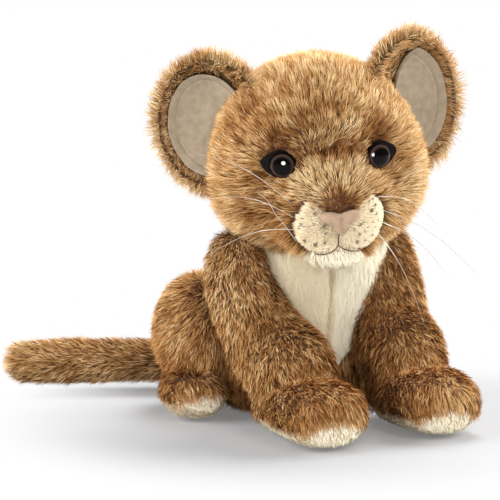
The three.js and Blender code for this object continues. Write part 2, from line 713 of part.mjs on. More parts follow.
// Muzzle and chin patches
const patchOutline = (side, sign) => patchShares.map(([out, up]) => new THREE.Vector2(
  sign * Math.max(out * patchWidths[side], seamGap / 2), patchBottom + up * (patchTop - patchBottom)));
const chinEdge = chinShares.map(([out, up]) => new THREE.Vector2(
  out * chinHalfWidth, chinBottom + up * (chinTop - chinBottom)));
const chinOutline = [...chinEdge,
  ...chinEdge.slice(1, -1).map((corner) => new THREE.Vector2(-corner.x, corner.y)).reverse()];
const inHead = (outline, depth) => prism(
  outline.map((corner) => new THREE.Vector2(corner.x, corner.y + headCentre.z)),
  -cutOverrun * 2, headCentre.y - depth);
const patches = Object.entries(mirrored).map(([side, sign]) => ({
  name: `muzzle_patch_${side}`,
  cut: (spare) => inHead(grown(patchOutline(side, sign), spare), patchDepth - spare),
}));
const chinCut = (spare) => inHead(grown(chinOutline, spare), chinDepth - spare);
for (const { name, cut } of patches) {
  addPiece(headGroup, name, headSkin.intersect(cut(0)), creamPlush);
}
const roundPatches = patches.reduce((left, { cut }) => left.subtract(cut(seamGap)), headSkin);
addPiece(headGroup, 'chin_patch', roundPatches.intersect(chinCut(0)), creamPlush);
addPiece(headGroup, 'head_skin', roundPatches.subtract(chinCut(seamGap)), brownFur);
addPiece(headGroup, 'head_stuffing', headFill, fibre);

// Ears
for (const [side, sign] of Object.entries(mirrored)) {
  const ear = point(sign * earAcross, earBack, earUp).add(headCentre);
  const place = (shape) => placedFacing(
    shape.scale([earWidthShare, 1, 1]), ear, sign * earTurnAngle, earLiftAngle);
  const sized = (shares) => shares.map(([out, ahead]) => [out * earRadius, ahead * earRadius]);
  const lift = seamGap * 2;
  const lining = sized(liningShares);
  const foldAxis = point(0, 0, 1);
  const foldAcross = sign * (earAcross - earRadius * earWidthShare / 2);
  const foldPivot = point(foldAcross, earBack, earUp).add(headCentre);
  const fit = (shape) => clearOf(shape, headRoom, foldAxis, foldPivot,
    earFoldRange.map((angle) => angle * -sign));
  addPiece(headGroup, `ear_back_${side}`, fit(place(revolved(sized(earCupShares), earSides))), brownFur);
  const [liningHalfWidth, liningShift] = liningWidths[side];
  const liningReach = ellipticalPlate(
    liningHalfWidth / earWidthShare, liningHalfHeight, -earRadius, earRadius)
    .translate([sign * liningShift, 0, 0]);
  addPiece(headGroup, `ear_lining_${side}`, fit(place(revolved([
    ...lining.map(([out, ahead]) => [out, ahead + lift]),
    ...lining.map(([out, ahead]) => [out, ahead + lift + liningThickness]).reverse(),
  ], earSides).intersect(liningReach))), velour);
}

// Whiskers
const whiskerSection = new THREE.Shape().absellipse(0, 0, whiskerRadius, whiskerRadius, 0, Math.PI * 2);
for (const [side, sign] of Object.entries(mirrored)) {
  const rows = side === 'left' ? leftWhiskerShares : rightWhiskerShares;
  rows.forEach(([dip, out, back, up], k) => {
    const root = onHead(sign * whiskerTurnAngle, -dip, -seamGap * 2);
    const reach = point(sign * out * whiskerReach, back * whiskerReach, up * whiskerReach);
    const rise = point(0, -whiskerBow, whiskerBow);
    const line = new THREE.CatmullRomCurve3(whiskerStationShares.map((share) => root.clone()
      .addScaledVector(reach, share).addScaledVector(rise, Math.sin(Math.PI * share))));
    const hair = new THREE.ExtrudeGeometry(whiskerSection, {
      steps: 6, curveSegments: 2, bevelEnabled: false, extrudePath: line,
    });
    addPiece(headGroup, `whisker_${side}_${k + 1}`, solid(hair), nylon);
  });
}

export default lion;
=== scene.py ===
# A sitting plush lion cub: golden-brown fur fabric over fibre stuffing, with cream panels at
# chest, muzzle, chin and soles. The pile is grown blade by blade, because it gives the toy its
# look. Metres, +Z up. The lion faces -Y and its own left side is +X.
import bpy
import numpy as np
from mathutils import Matrix


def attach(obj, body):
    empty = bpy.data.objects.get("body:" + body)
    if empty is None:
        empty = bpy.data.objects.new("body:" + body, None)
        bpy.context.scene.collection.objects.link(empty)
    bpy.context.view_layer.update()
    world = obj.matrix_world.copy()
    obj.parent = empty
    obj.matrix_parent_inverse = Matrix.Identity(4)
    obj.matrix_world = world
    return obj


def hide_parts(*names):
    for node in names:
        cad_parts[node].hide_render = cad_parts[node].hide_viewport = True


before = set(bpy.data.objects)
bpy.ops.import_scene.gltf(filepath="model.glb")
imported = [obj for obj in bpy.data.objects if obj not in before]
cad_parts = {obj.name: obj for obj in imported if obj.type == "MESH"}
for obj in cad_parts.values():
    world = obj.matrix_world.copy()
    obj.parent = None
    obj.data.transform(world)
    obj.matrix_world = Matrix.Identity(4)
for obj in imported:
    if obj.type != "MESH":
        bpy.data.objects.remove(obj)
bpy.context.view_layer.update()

# Camera
# The lion is seen from its right front, from a little above its head and from far away.
# A point on the floor ahead of the seat shows at a known place, which fixes the framing.
mm = 0.001
view_turn, view_lift = -27, 10
view_distance = 2.6
picture_pixels = 500
pixel_size = 0.588 * mm
known_point = np.array([0, -40 * mm, 0])
known_pixel = np.array([320.6, 417.3])
sensor_width = 36
far_limit = 20


def unit(vectors):
    """Each vector divided by its own length."""
    return vectors / np.maximum(np.linalg.norm(vectors, axis=-1, keepdims=True), 1e-12)


def columns(*values):
    """Values side by side as the coordinates of points, each spread to the shape they share."""
    return np.stack(np.broadcast_arrays(*values), axis=-1)


def facing(turn, lift):
    """The direction that is turned to the lion's left from straight ahead and then lifted."""
    turn, lift = np.radians(turn), np.radians(lift)
    return columns(np.sin(turn) * np.cos(lift), -np.cos(turn) * np.cos(lift), np.sin(lift))


def in_scene(name, data):
    """A new object of this data, linked to the scene."""
    made = bpy.data.objects.new(name, data)
    bpy.context.scene.collection.objects.link(made)
    return made


def look_back(made, place, towards, distance):
    """Sets a camera or a lamp at a distance from a place, level and looking back at it."""
    level = unit(np.cross([0, 0, 1.0], towards))
    pose = np.eye(4)
    pose[:3, :3] = np.stack([level, np.cross(towards, level), towards], axis=1)
    pose[:3, 3] = place + towards * distance
    made.matrix_world = Matrix(pose)


towards_viewer = facing(view_turn, view_lift)
picture_right = facing(view_turn + 90, 0)
picture_up = np.cross(towards_viewer, picture_right)
off_centre = (picture_pixels / 2 - known_pixel) * pixel_size
view_centre = known_point + picture_right * off_centre[0] - picture_up * off_centre[1]

camera_data = bpy.data.cameras.new("camera")
camera_data.sensor_width = sensor_width
camera_data.lens = sensor_width * view_distance / (picture_pixels * pixel_size)
camera_data.clip_end = far_limit
camera = in_scene("camera", camera_data)
look_back(camera, view_centre, towards_viewer, view_distance)
bpy.context.scene.camera = camera

# Body
# A pear of fur fabric, stuffed firmly and sitting flat, that leans forward to the neck. Each
# of its level sections is a soft-cornered oval. The fabric lies as deep under the outer form
# as the laid pile stands up.
pile_stand = 4.4 * mm
floor_cut = 0.5 * mm
body_height = 126 * mm
hip_half_width = 56 * mm
hip_half_depth = 48 * mm
body_lean = 34 * mm
thread_height = 0.4 * mm
# How square the corners of a section are: 2 is an oval
section_power = 2.3
# Height, half-width, half-depth and lean of each station
body_shares = np.array([
    [0, 0.95, 0.94, 0], [0.15, 1, 1, 0.02], [0.3, 1, 1, 0.16], [0.45, 0.96, 0.95, 0.38],
    [0.6, 0.9, 0.88, 0.62], [0.75, 0.86, 0.83, 0.82], [0.88, 0.82, 0.78, 0.93], [1, 0.76, 0.7, 1]])


def catmull_rom(points, along):
    """A smooth curve through the points, at each share of the way along. Between two points
    it is a cubic whose slope at each end comes from the chords on both sides, weighted by the
    square roots of their lengths."""
    points = np.asarray(points, float)
    chain = np.vstack([2 * points[:1] - points[1:2], points, 2 * points[-1:] - points[-2:-1]])
    spans = np.maximum(np.sqrt(np.linalg.norm(np.diff(chain, axis=0), axis=1)), 1e-6)
    place = np.clip(along, 0, 1) * (len(points) - 1)
    first = np.minimum(place.astype(int), len(points) - 2)
    t = (place - first)[:, None]
    p0, p1, p2, p3 = (chain[first + k] for k in range(4))
    d0, d1, d2 = (spans[first + k][:, None] for k in range(3))
    slope1 = ((p1 - p0) / d0 - (p2 - p0) / (d0 + d1) + (p2 - p1) / d1) * d1
    slope2 = ((p2 - p1) / d1 - (p3 - p1) / (d1 + d2) + (p3 - p2) / d2) * d1
    return (p1 + slope1 * t + (3 * (p2 - p1) - 2 * slope1 - slope2) * t ** 2
            + (2 * (p1 - p2) + slope1 + slope2) * t ** 3)


def end_rounding(along, power):
    """The share of its size that a section keeps: the root of one less the power of its
    distance from halfway, where both ends are one away."""
    return np.maximum(0, 1 - np.abs(2 * along - 1) ** power) ** (1 / power)


def signed_power(values, power):
    """The power of each value's size, with the value's own sign."""
    return np.sign(values) * np.abs(values) ** power


def stuffed_form(form, inset, rows=72, sides=96):
    """Rings of points: super-elliptical sections carried along a path. Each section shrinks to
    nothing at both ends as a super-ellipse does, and its underside may be flat. An inset draws
    the whole form in."""
    along = (1 - np.cos(np.linspace(0, np.pi, rows + 2)[1:-1])) / 2
    rounding = end_rounding(along, form["end_power"])
    rounding = np.maximum(rounding, form.get("start_share", 0) * (1 - along))
    middle = catmull_rom(form["path"], along)
    step = 1e-4
    ahead = unit(catmull_rom(form["path"], along + step) - catmull_rom(form["path"], along - step))
    if form.get("level"):
        ahead = np.broadcast_to([0.0, 0.0, 1.0], ahead.shape)
    across = np.asarray(form["across"], float)
    sideways = unit(across - ahead * (ahead @ across)[:, None])
    upwards = -np.cross(sideways, ahead)
    size = catmull_rom(form["girths"], along)
    centre = middle + ahead * (inset * (1 - 2 * along))[:, None]
    angle = np.linspace(0, 2 * np.pi, sides, endpoint=False)
    corner = 2 / form.get("power", section_power)
    wide, high = signed_power(np.cos(angle), corner), signed_power(np.sin(angle), corner)
    wide = wide * ((size[:, 0] - inset) * rounding)[:, None]
    high = high * ((size[:, 1] - inset) * rounding)[:, None]
    high = np.maximum(high, (inset - size[:, 2] * size[:, 1])[:, None])
    return centre[:, None] + wide[..., None] * sideways[:, None] + high[..., None] * upwards[:, None]


def closed_rings(rings):
    """Points and faces of a stack of rings: four-cornered faces between rings, and a fan of
    three-cornered ones from each end ring to its middle."""
    rows, sides = rings.shape[:2]
    points = np.vstack([rings.reshape(-1, 3), rings[0].mean(0), rings[-1].mean(0)])
    index = np.arange(rows * sides).reshape(rows, sides)
    turn = np.roll(index, -1, axis=1)
    quads = np.stack([index[:-1], turn[:-1], turn[1:], index[1:]], -1).reshape(-1, 4)
    first = np.stack([np.full(sides, rows * sides), turn[0], index[0]], -1)
    last = np.stack([np.full(sides, rows * sides + 1), index[-1], turn[-1]], -1)
    return points, quads, np.vstack([first, last])


def filled_mesh(name, points, corners, starts):
    """A smooth mesh of points and faces: the corners of all faces in one row, and the place in
    that row where each face starts."""
    mesh = bpy.data.meshes.new(name)
    mesh.vertices.add(len(points))
    mesh.vertices.foreach_set("co", points.astype(np.float32).ravel())
    mesh.loops.add(len(corners))
    mesh.loops.foreach_set("vertex_index", corners.astype(np.int32))
    mesh.polygons.add(len(starts))
    mesh.polygons.foreach_set("loop_start", starts.astype(np.int32))
    mesh.polygons.foreach_set("use_smooth", np.ones(len(starts), bool))
    mesh.update(calc_edges=True)
    return mesh


def mesh_object(name, points, *face_groups):
    """An object of these points and faces, turned to point outwards: the sum of its corner
    products, which is six times its volume, must be positive."""
    fans = np.vstack([np.stack([group[:, 0], group[:, k], group[:, k + 1]], -1)
                      for group in face_groups for k in range(1, group.shape[1] - 1)])
    a, b, c = (points[fans[:, k]] for k in range(3))
    if np.einsum("ij,ij->i", a, np.cross(b, c)).sum() < 0:
        face_groups = [group[:, ::-1] for group in face_groups]
    corners = np.concatenate([group.ravel() for group in face_groups])
    sizes = np.concatenate([np.full(len(group), group.shape[1]) for group in face_groups])
    starts = np.concatenate([[0], np.cumsum(sizes)[:-1]])
    return in_scene(name, filled_mesh(name, points, corners, starts))


def scrambled(cells, seed):
    """A number from 0 to 1 for each cell of a lattice, always the same for the same cell: its
    three whole numbers are multiplied by large primes and mixed bit by bit."""
    mixed = (cells * np.array([73856093, 19349663, 83492791])).sum(-1) + seed * 374761393
    mixed = (mixed ^ (mixed >> 13)) * 1274126177
    return ((mixed ^ (mixed >> 16)) & 0xFFFFFFFF) / 0xFFFFFFFF


def soft_noise(points, cell, seed):
    """A smooth number from -1 to 1 at each point: scrambled numbers at the eight corners of
    its lattice cell, blended with a soft step."""
    place = points / cell
    home = np.floor(place).astype(np.int64)
    t = place - home
    t = t * t * (3 - 2 * t)
    total = 0
    for corner in np.ndindex(2, 2, 2):
        weight = np.prod(np.where(np.array(corner), t, 1 - t), axis=-1)
        total = total + weight * scrambled(home + np.array(corner), seed)
    return 2 * total - 1


def read_mesh(made):
    """Points, outward normals and triangles of an object's mesh."""
    mesh = made.data
    mesh.calc_loop_triangles()
    points = np.empty(len(mesh.vertices) * 3, np.float32)
    mesh.vertices.foreach_get("co", points)
    normals = np.empty(len(mesh.vertices) * 3, np.float32)
    mesh.vertex_normals.foreach_get("vector", normals)
    triangles = np.empty(len(mesh.loop_triangles) * 3, np.int32)
    mesh.loop_triangles.foreach_get("vertices", triangles)
    points, normals = (row.reshape(-1, 3).astype(float) for row in (points, normals))
    return points, normals, triangles.reshape(-1, 3)


def move_points(made, points):
    """Puts new places into an object's mesh."""
    made.data.vertices.foreach_set("co", points.astype(np.float32).ravel())
    made.data.update()


def lumpy(made, amount, size, seed):
    """Stuffing pushes the fabric out unevenly: each point moves along its normal by soft noise
    of two sizes, the smaller with a third of the strength."""
    points, normals, _ = read_mesh(made)
    swell = soft_noise(points, size, seed) + soft_noise(points, size / 2.6, seed + 1) / 3
    move_points(made, points + normals * (swell * amount)[:, None])


def plain_material(name, roughness, shine=0.5):
    """A new material of this roughness and shine, with its nodes, its links and its shader."""
    material = bpy.data.materials.new(name)
    material.use_nodes = True
    nodes, links = material.node_tree.nodes, material.node_tree.links
    shader = nodes["Principled BSDF"]
    shader.inputs["Roughness"].default_value = roughness
    shader.inputs["Specular IOR Level"].default_value = shine
    return material, nodes, links, shader


def speckle(nodes, links, scale, detail=2):
    """Noise in the piece's own space, which gives a number from 0 to 1."""
    place = nodes.new("ShaderNodeTexCoord")
    noise = nodes.new("ShaderNodeTexNoise")
    noise.inputs["Scale"].default_value = scale
    noise.inputs["Detail"].default_value = detail
    links.new(place.outputs["Object"], noise.inputs["Vector"])
    return noise.outputs["Fac"]


def colour_ramp(nodes, links, number, stops):
    """Turns a number from 0 to 1 into a colour, through stops of a place and a colour each."""
    ramp = nodes.new("ShaderNodeValToRGB")
    elements = ramp.color_ramp.elements
    while len(elements) < len(stops):
        elements.new(0.5)
    for element, (place, colour) in zip(elements, stops):
        element.position = place
        element.color = (*colour, 1)
    links.new(number, ramp.inputs["Fac"])
    return ramp.outputs["Color"]


def fabric_material(name, dark, light, grain, bump, roughness=0.9, sheen=0.2):
    """Cloth of two near shades in soft blotches, with a fine thread-like bump."""
    material, nodes, links, shader = plain_material(name, roughness, 0.05)
    shader.inputs["Sheen Weight"].default_value = sheen
    blotches = colour_ramp(nodes, links, speckle(nodes, links, grain, 6), [(0.35, dark), (0.65, light)])
    links.new(blotches, shader.inputs["Base Color"])
    raised = nodes.new("ShaderNodeBump")
    raised.inputs["Strength"].default_value = bump
    raised.inputs["Distance"].default_value = thread_height
    links.new(speckle(nodes, links, grain * 12), raised.inputs["Height"])
    links.new(raised.outputs["Normal"], shader.inputs["Normal"])
    return material


def fit_out(made, body, material, slot, *nodes):
    """Gives a finished piece its material, its body and the nodes it stands for. The slot is not used."""
    made.data.materials.clear()
    made.data.materials.append(material)
    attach(made, body)
    if nodes:
        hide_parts(*nodes)


body_levels, body_widths, body_depths, body_leans = body_shares.T
body_form = {
    "path": columns(0, -body_leans * body_lean, body_levels * body_height - floor_cut),
    "girths": columns(body_widths * hip_half_width, body_depths * hip_half_depth, 1),
    "across": (1, 0, 0), "level": True, "end_power": 5, "start_share": 0.72}


def depth_in_body(points, inset=0.0):
    """How deep each point lies inside the body, measured level: the section's radius in the
    point's direction less the point's own distance from the section's middle. It is less than
    nothing above the body."""
    along = np.linspace(0.001, 0.999, 400)
    middle = catmull_rom(body_form["path"], along)
    size = catmull_rom(body_form["girths"], along)
    rounding = end_rounding(along, body_form["end_power"])
    half_width, half_depth, back = (np.interp(points[:, 2], middle[:, 2], values) for values in (
        (size[:, 0] - inset) * rounding, (size[:, 1] - inset) * rounding, middle[:, 1]))
    x, y = points[:, 0], points[:, 1] - back
    distance = np.maximum(np.hypot(x, y), 1e-9)
    radius = ((np.abs(x / distance) / half_width) ** section_power
              + (np.abs(y / distance) / half_depth) ** section_power) ** (-1 / section_power)
    return np.where(points[:, 2] > body_height, -1.0, radius - distance)


brown_backing = fabric_material("brown_backing", (0.10, 0.040, 0.016), (0.19, 0.085, 0.034), 90, 0.6)
body_skin = mesh_object("body_skin", *closed_rings(stuffed_form(body_form, pile_stand)))
lumpy(body_skin, 1.0 * mm, 30 * mm, 1)

# Pile of the body
# The fabric's pile is about 8 mm long, laid down and back, golden brown with dark roots and pale tips, and
# it stands in small locks. The dark roots are partly its own colour and partly painted shade deep in the
# pile. Every blade is a narrow ribbon of two lengths.
blades_per_square = 1.25 / mm ** 2
pile_length = 8.2 * mm
blade_width = 0.52 * mm
lock_size = 3.6 * mm
blades_per_piece = 60000
floor_clearance = 0.25 * mm


def scatter(made, density, seed):
    """Roots spread evenly over a skin, with its smooth normals there. Each triangle gets its
    share by area, and a root's place in its triangle is even too."""
    points, normals, triangles = read_mesh(made)
    corners = points[triangles]
    area = np.linalg.norm(np.cross(corners[:, 1] - corners[:, 0], corners[:, 2] - corners[:, 0]), axis=1) / 2
    count = int(area.sum() * density)
    draw = np.random.default_rng(seed)
    steps = (np.arange(count) + draw.random(count)) / count * area.sum()
    pick = np.minimum(np.searchsorted(np.cumsum(area), steps), len(area) - 1)
    b, c = draw.random((2, count))
    over = b + c > 1
    b, c = np.where(over, 1 - b, b), np.where(over, 1 - c, c)
    shares = np.stack([1 - b - c, b, c], -1)[..., None]
    return (corners[pick] * shares).sum(1), unit((normals[triangles[pick]] * shares).sum(1))


def lock_middles(points, size, seed):
    """The middle of the nearest lock of pile to each point, and a number from 0 to 1 for that
    lock. Each cell of a lattice holds one middle, at a scrambled place in it."""
    home = np.floor(points / size).astype(np.int64)
    nearest = np.full(len(points), np.inf)
    middles = np.zeros_like(points)
    numbers = np.zeros(len(points))
    for step in np.ndindex(3, 3, 3):
        cell = home + np.array(step) - 1
        middle = (cell + np.stack([scrambled(cell, seed + k) for k in range(3)], -1)) * size
        distance = ((middle - points) ** 2).sum(-1)
        nearer = distance < nearest
        nearest = np.where(nearer, distance, nearest)
        middles = np.where(nearer[:, None], middle, middles)
        numbers = np.where(nearer, scrambled(cell, seed + 3), numbers)
    return middles, numbers


def from_chart(nodes, links):
    """The two coordinates, X and Y, of the piece's own UV map."""
    chart = nodes.new("ShaderNodeUVMap")
    chart.uv_map = "OFBake"
    split = nodes.new("ShaderNodeSeparateXYZ")
    links.new(chart.outputs["UV"], split.inputs["Vector"])
    return split.outputs


def set_chart(mesh, chart):
    """Gives a mesh its UV map, with the coordinates of each corner."""
    layer = mesh.uv_layers.new(name="OFBake")
    layer.uv.foreach_set("vector", chart.astype(np.float32).ravel())


def soft_step(nodes, links, value, low, high):
    """A number that rises softly from 0 to 1 while a value runs from low to high."""
    step = nodes.new("ShaderNodeMapRange")
    step.interpolation_type = "SMOOTHSTEP"
    step.inputs["From Min"].default_value = low
    step.inputs["From Max"].default_value = high
    links.new(value, step.inputs["Value"])
    return step.outputs["Result"]


def pile_material(name, shades):
    """Colour of a blade from its own UV map: across, the map holds the blade's shade, and up,
    the way from root to tip. One ramp gives the root's colour and one the tip's."""
    material, nodes, links, shader = plain_material(name, 0.75, 0.0)
    chart = from_chart(nodes, links)
    mix = nodes.new("ShaderNodeMix")
    mix.data_type = "RGBA"
    links.new(soft_step(nodes, links, chart["Y"], 0.12, 0.95), mix.inputs["Factor"])
    for end, socket in ((1, "A"), (2, "B")):
        stops = [(shade[0], shade[end]) for shade in shades]
        links.new(colour_ramp(nodes, links, chart["X"], stops), mix.inputs[socket])
    links.new(mix.outputs["Result"], shader.inputs["Base Color"])
    return material


def turned_about(vectors, axes, angles):
    """Each vector, square to its axis, turned about that axis."""
    return vectors * np.cos(angles)[:, None] + np.cross(axes, vectors) * np.sin(angles)[:, None]


def grow_pile(name, body, material, slot, roots, normals, where, lay, shade, seed, length=pile_length,
              width=blade_width, lifts=(62, 30), lock=lock_size, gather=0.4, wander=24, spread=0.26,
              start=0.0):
    """Blades from those roots where pile stands. A blade leaves the skin at the first lift,
    bends to the second halfway up, and its tip is drawn towards the middle of its lock. The
    lay is the way that the pile is brushed, and it wanders by soft noise. Its shade varies by
    lock and by blade, and its colour runs from the start given, where 0 is the root's dark, to
    the tip's."""
    roots, normals, lay, shade, length, start, *lifts = (
        values[where] if np.ndim(values) else values
        for values in (roots, normals, lay, shade, length, start, *lifts))
    count = len(roots)
    draw = np.random.default_rng(seed)
    lay = unit(lay - normals * (lay * normals).sum(-1, keepdims=True))
    turn = soft_noise(roots, 9 * mm, seed) * wander + draw.normal(0, 14, count)
    lay = turned_about(lay, normals, np.radians(turn))
    middles, numbers = lock_middles(roots, lock, seed)
    reach = length * (0.78 + 0.22 * draw.random(count) + 0.16 * numbers)
    lift = [np.radians(angle + draw.normal(0, 9, count)) for angle in lifts]
    low, high = (lay * np.cos(angle)[:, None] + normals * np.sin(angle)[:, None] for angle in lift)
    base = roots - normals * (0.6 * mm)
    pull = middles - roots
    pull -= normals * (pull * normals).sum(-1, keepdims=True)
    middle = base + low * (reach / 2)[:, None] + pull * (gather * 0.4)
    tip = middle + high * (reach / 2)[:, None] + pull * (gather * 0.6)
    ahead = unit(tip - base)
    side = unit(np.cross(ahead, normals))
    side = turned_about(side, ahead, np.radians(draw.uniform(-55, 55, count)))
    half = side * (width / 2 * (0.8 + 0.4 * draw.random(count)))[:, None]
    points = np.stack([base - half, base + half, middle + half * 0.85, middle - half * 0.85, tip], 1)
    points[..., 2] = np.maximum(points[..., 2], floor_clearance)
    shown = unit(np.cross(half, ahead)) * 0.45 + normals * 0.55
    shade = shade + (numbers - 0.5) * spread * 1.4 + draw.normal(0, spread * 0.6, count)
    shade = np.clip(shade, 0.02, 0.98)
    slim = 0.006
    start = np.broadcast_to(np.ravel(start), count)
    halfway, end = (start + 1) / 2, np.ones(count)
    chart = np.stack([columns(shade + across, up) for across, up in (
        (-slim, start), (slim, start), (slim, halfway), (-slim, halfway), (slim, halfway), (0, end),
        (-slim, halfway))], 1)
    # A blade is a four-cornered face below and a three-cornered one above it
    blade_points, blade_corners, blade_starts = 5, np.array([0, 1, 2, 3, 2, 4, 3]), np.array([0, 4])
    order = np.argsort(roots[:, 2], kind="stable")
    chunks = np.array_split(order, max(1, int(np.ceil(count / blades_per_piece))))
    for number, chunk in enumerate(chunks, 1):
        blades = np.arange(len(chunk))[:, None]
        mesh = filled_mesh(f"{name}_{number}", points[chunk].reshape(-1, 3),
                           (blades * blade_points + blade_corners).ravel(),
                           (blades * len(blade_corners) + blade_starts).ravel())
        set_chart(mesh, chart[chunk])
        mesh.normals_split_custom_set_from_vertices(np.repeat(unit(shown[chunk]), blade_points, axis=0))
        fit_out(in_scene(f"{name}_{number}", mesh), body, material, slot)


def depth_inside(points, outline):
    """How deep inside an outline, drawn across and up, each point lies, or less than nothing
    outside it: its distance from the nearest edge."""
    starts, ends = outline, np.roll(outline, -1, axis=0)
    place = points[:, None] - starts
    edge = ends - starts
    share = np.clip((place * edge).sum(-1) / (edge ** 2).sum(-1), 0, 1)
    distance = np.sqrt(((place - edge * share[..., None]) ** 2).sum(-1).min(1))
    above = starts[:, 1] > points[:, 1:2]
    crosses = above != (ends[:, 1] > points[:, 1:2])
    rise = np.where(np.abs(edge[:, 1]) < 1e-12, 1e-12, edge[:, 1])
    at = starts[:, 0] + (points[:, 1:2] - starts[:, 1]) * edge[:, 0] / rise
    inside = (crosses & (points[:, :1] < at)).sum(1) % 2 == 1
    return np.where(inside, distance, -distance)


def panel(name, skin, keep, rise, thickness):
    """A panel of fabric over part of a skin: the skin's faces whose corners are all kept, once
    raised and once sunk along the normals, with a wall round the edge."""
    points, normals, triangles = read_mesh(skin)
    faces = triangles[keep[triangles].all(1)]
    used, faces = np.unique(faces, return_inverse=True)
    faces = faces.reshape(-1, 3)
    outer = points[used] + normals[used] * rise
    inner = outer - normals[used] * thickness
    edges = np.vstack([faces[:, [0, 1]], faces[:, [1, 2]], faces[:, [2, 0]]])
    both = np.sort(edges, axis=1)
    _, back, count = np.unique(both, axis=0, return_inverse=True, return_counts=True)
    rim = edges[count[back.ravel()] == 1]
    wall = np.stack([rim[:, 0], rim[:, 0] + len(used), rim[:, 1] + len(used), rim[:, 1]], -1)
    return mesh_object(name, np.vstack([outer, inner]), faces, faces[:, ::-1] + len(used), wall)


# The roots are darker than the tips: partly the fabric's own colour and partly painted shade deep in the
# pile
brown_pile = pile_material("brown_pile", [
    (0.0, (0.030, 0.010, 0.003), (0.15, 0.052, 0.014)),
    (0.35, (0.075, 0.028, 0.009), (0.41, 0.180, 0.058)),
    (0.65, (0.140, 0.062, 0.021), (0.68, 0.39, 0.155)),
    (1.0, (0.270, 0.145, 0.058), (0.92, 0.71, 0.40))])
cream_pile = pile_material("cream_pile", [
    (0.0, (0.085, 0.060, 0.040), (0.14, 0.100, 0.066)),
    (0.4, (0.400, 0.270, 0.140), (0.72, 0.54, 0.32)),
    (0.8, (0.780, 0.640, 0.420), (0.98, 0.86, 0.62)),
    (1.0, (0.960, 0.860, 0.660), (1.00, 0.95, 0.78))])

# Neck
# A short neck of the same brown fabric, a stuffed ball. Head and body are sewn to it and hide
# it, and the head turns and nods on it.
neck_pivot = np.array([0, -body_lean, body_height - 2 * mm])
neck_radius = 30 * mm


def ball(centre, half_sizes, rows=24, sides=36):
    """Rings of a ball stretched to three half-sizes, with its poles up and down."""
    lift = np.linspace(-np.pi / 2, np.pi / 2, rows + 2)[1:-1][:, None]
    turn = np.linspace(0, 2 * np.pi, sides, endpoint=False)[None]
    shape = columns(np.cos(lift) * np.cos(turn), np.cos(lift) * np.sin(turn), np.sin(lift))
    return np.asarray(centre) + shape * np.asarray(half_sizes)


neck_rings = ball(neck_pivot, [neck_radius - 2 * mm] * 3, 40, 60)
neck_skin = mesh_object("neck_cover", *closed_rings(neck_rings))
lumpy(neck_skin, 0.5 * mm, 16 * mm, 5)
fit_out(neck_skin, "neck", brown_backing, "brown_fur", "neck_skin")

# Head
# A round head of the same fabric, pushed out at muzzle, cheeks and brow. It is turned to its
# own right, and its surface is a ball whose radius swells and sinks round given directions.
head_half_width = 59 * mm
head_half_depth = 53 * mm
crown_height = 58.5 * mm
jaw_depth = 58 * mm
head_middle = np.array([0, -6, 34]) * mm
head_turn_angle, head_tilt_angle, head_nod_angle = np.radians([-17, -4, 3])
muzzle_lift = -24
# How far the surface moves, then the turn, lift and spread of the place in degrees
swellings = [
    (20 * mm, 0, muzzle_lift, 27), (3.5 * mm, 16, -36, 11.5), (3.5 * mm, -16, -36, 11.5),
    (6 * mm, 0, -47, 17), (-2.5 * mm, 0, 8, 14), (6 * mm, 66, -34, 40), (6 * mm, -66, -34, 40),
    (3 * mm, 27, 26, 20), (3 * mm, -27, 26, 20)]
# Seams and stuffing: the crease between the brows, the hollow round each eye, and the chin
creases = [(-2.2 * mm, 0, 14, 7), (-1.6 * mm, -12, 11, 6), (-1.2 * mm, 12, 11, 6),
           (-2.4 * mm, 31, 5, 11), (-2.4 * mm, -31, 5, 11), (4.5 * mm, 0, -50, 13)]


def turning(axis, angle):
    """The matrix that turns points about one of the three axes."""
    first, second = [(1, 2), (2, 0), (0, 1)][axis]
    matrix = np.eye(3)
    matrix[[first, second], [first, second]] = np.cos(angle)
    matrix[second, first] = np.sin(angle)
    matrix[first, second] = -np.sin(angle)
    return matrix


head_axes = turning(2, head_turn_angle) @ turning(1, head_tilt_angle) @ turning(0, head_nod_angle)


def in_place(points):
    """Points given about the neck in the head's own directions, as places in the scene."""
    return neck_pivot + points @ head_axes.T


def in_head(points):
    """Places in the scene as points about the middle of the head, in its own directions."""
    return (points - neck_pivot) @ head_axes - head_middle


def degrees_from(directions, place):
    """The angle in degrees between each direction and the one given."""
    return np.degrees(np.arccos(np.clip(directions @ place, -1, 1)))


def lobe(directions, turn, lift, spread):
    """One in a direction and falling to nothing round it: e to the minus cube of the angle
    away, measured in spreads."""
    return np.exp(-(degrees_from(directions, facing(turn, lift)) / spread) ** 3)


def head_radius(directions, creased=False):
    """Distance from the middle of the head to its surface."""
    upright = np.where(directions[..., 2] > 0, crown_height, jaw_depth)
    sizes = columns(head_half_width, head_half_depth, upright)
    radius = 1 / np.linalg.norm(directions / sizes, axis=-1)
    for amount, turn, lift, spread in swellings + (creases if creased else []):
        radius = radius + amount * lobe(directions, turn, lift, spread)
    return radius


def head_rings(inset, rows=110, sides=128, creased=True):
    """Rings of the head about the axis of the muzzle, drawn in by an inset."""
    pole = facing(0, muzzle_lift)
    across = np.array([1.0, 0, 0])
    upwards = -np.cross(across, pole)
    away = np.linspace(0, np.pi, rows + 2)[1:-1][:, None, None]
    turn = np.linspace(0, 2 * np.pi, sides, endpoint=False)[None, :, None]
    sideways = across * np.cos(turn) + upwards * np.sin(turn)
    directions = unit(pole * np.cos(away) + sideways * np.sin(away))
    return directions * (head_radius(directions, creased) - inset)[..., None] + head_middle


def on_head(turn, lift, sink):
    """The point about the neck that lies this far under the head's outer form."""
    return facing(turn, lift) * (head_radius(facing(turn, lift)) - sink) + head_middle


head_stand = 3.8 * mm
head_skin = mesh_object("head_cover", *closed_rings(in_place(head_rings(head_stand))))
lumpy(head_skin, 0.5 * mm, 18 * mm, 9)


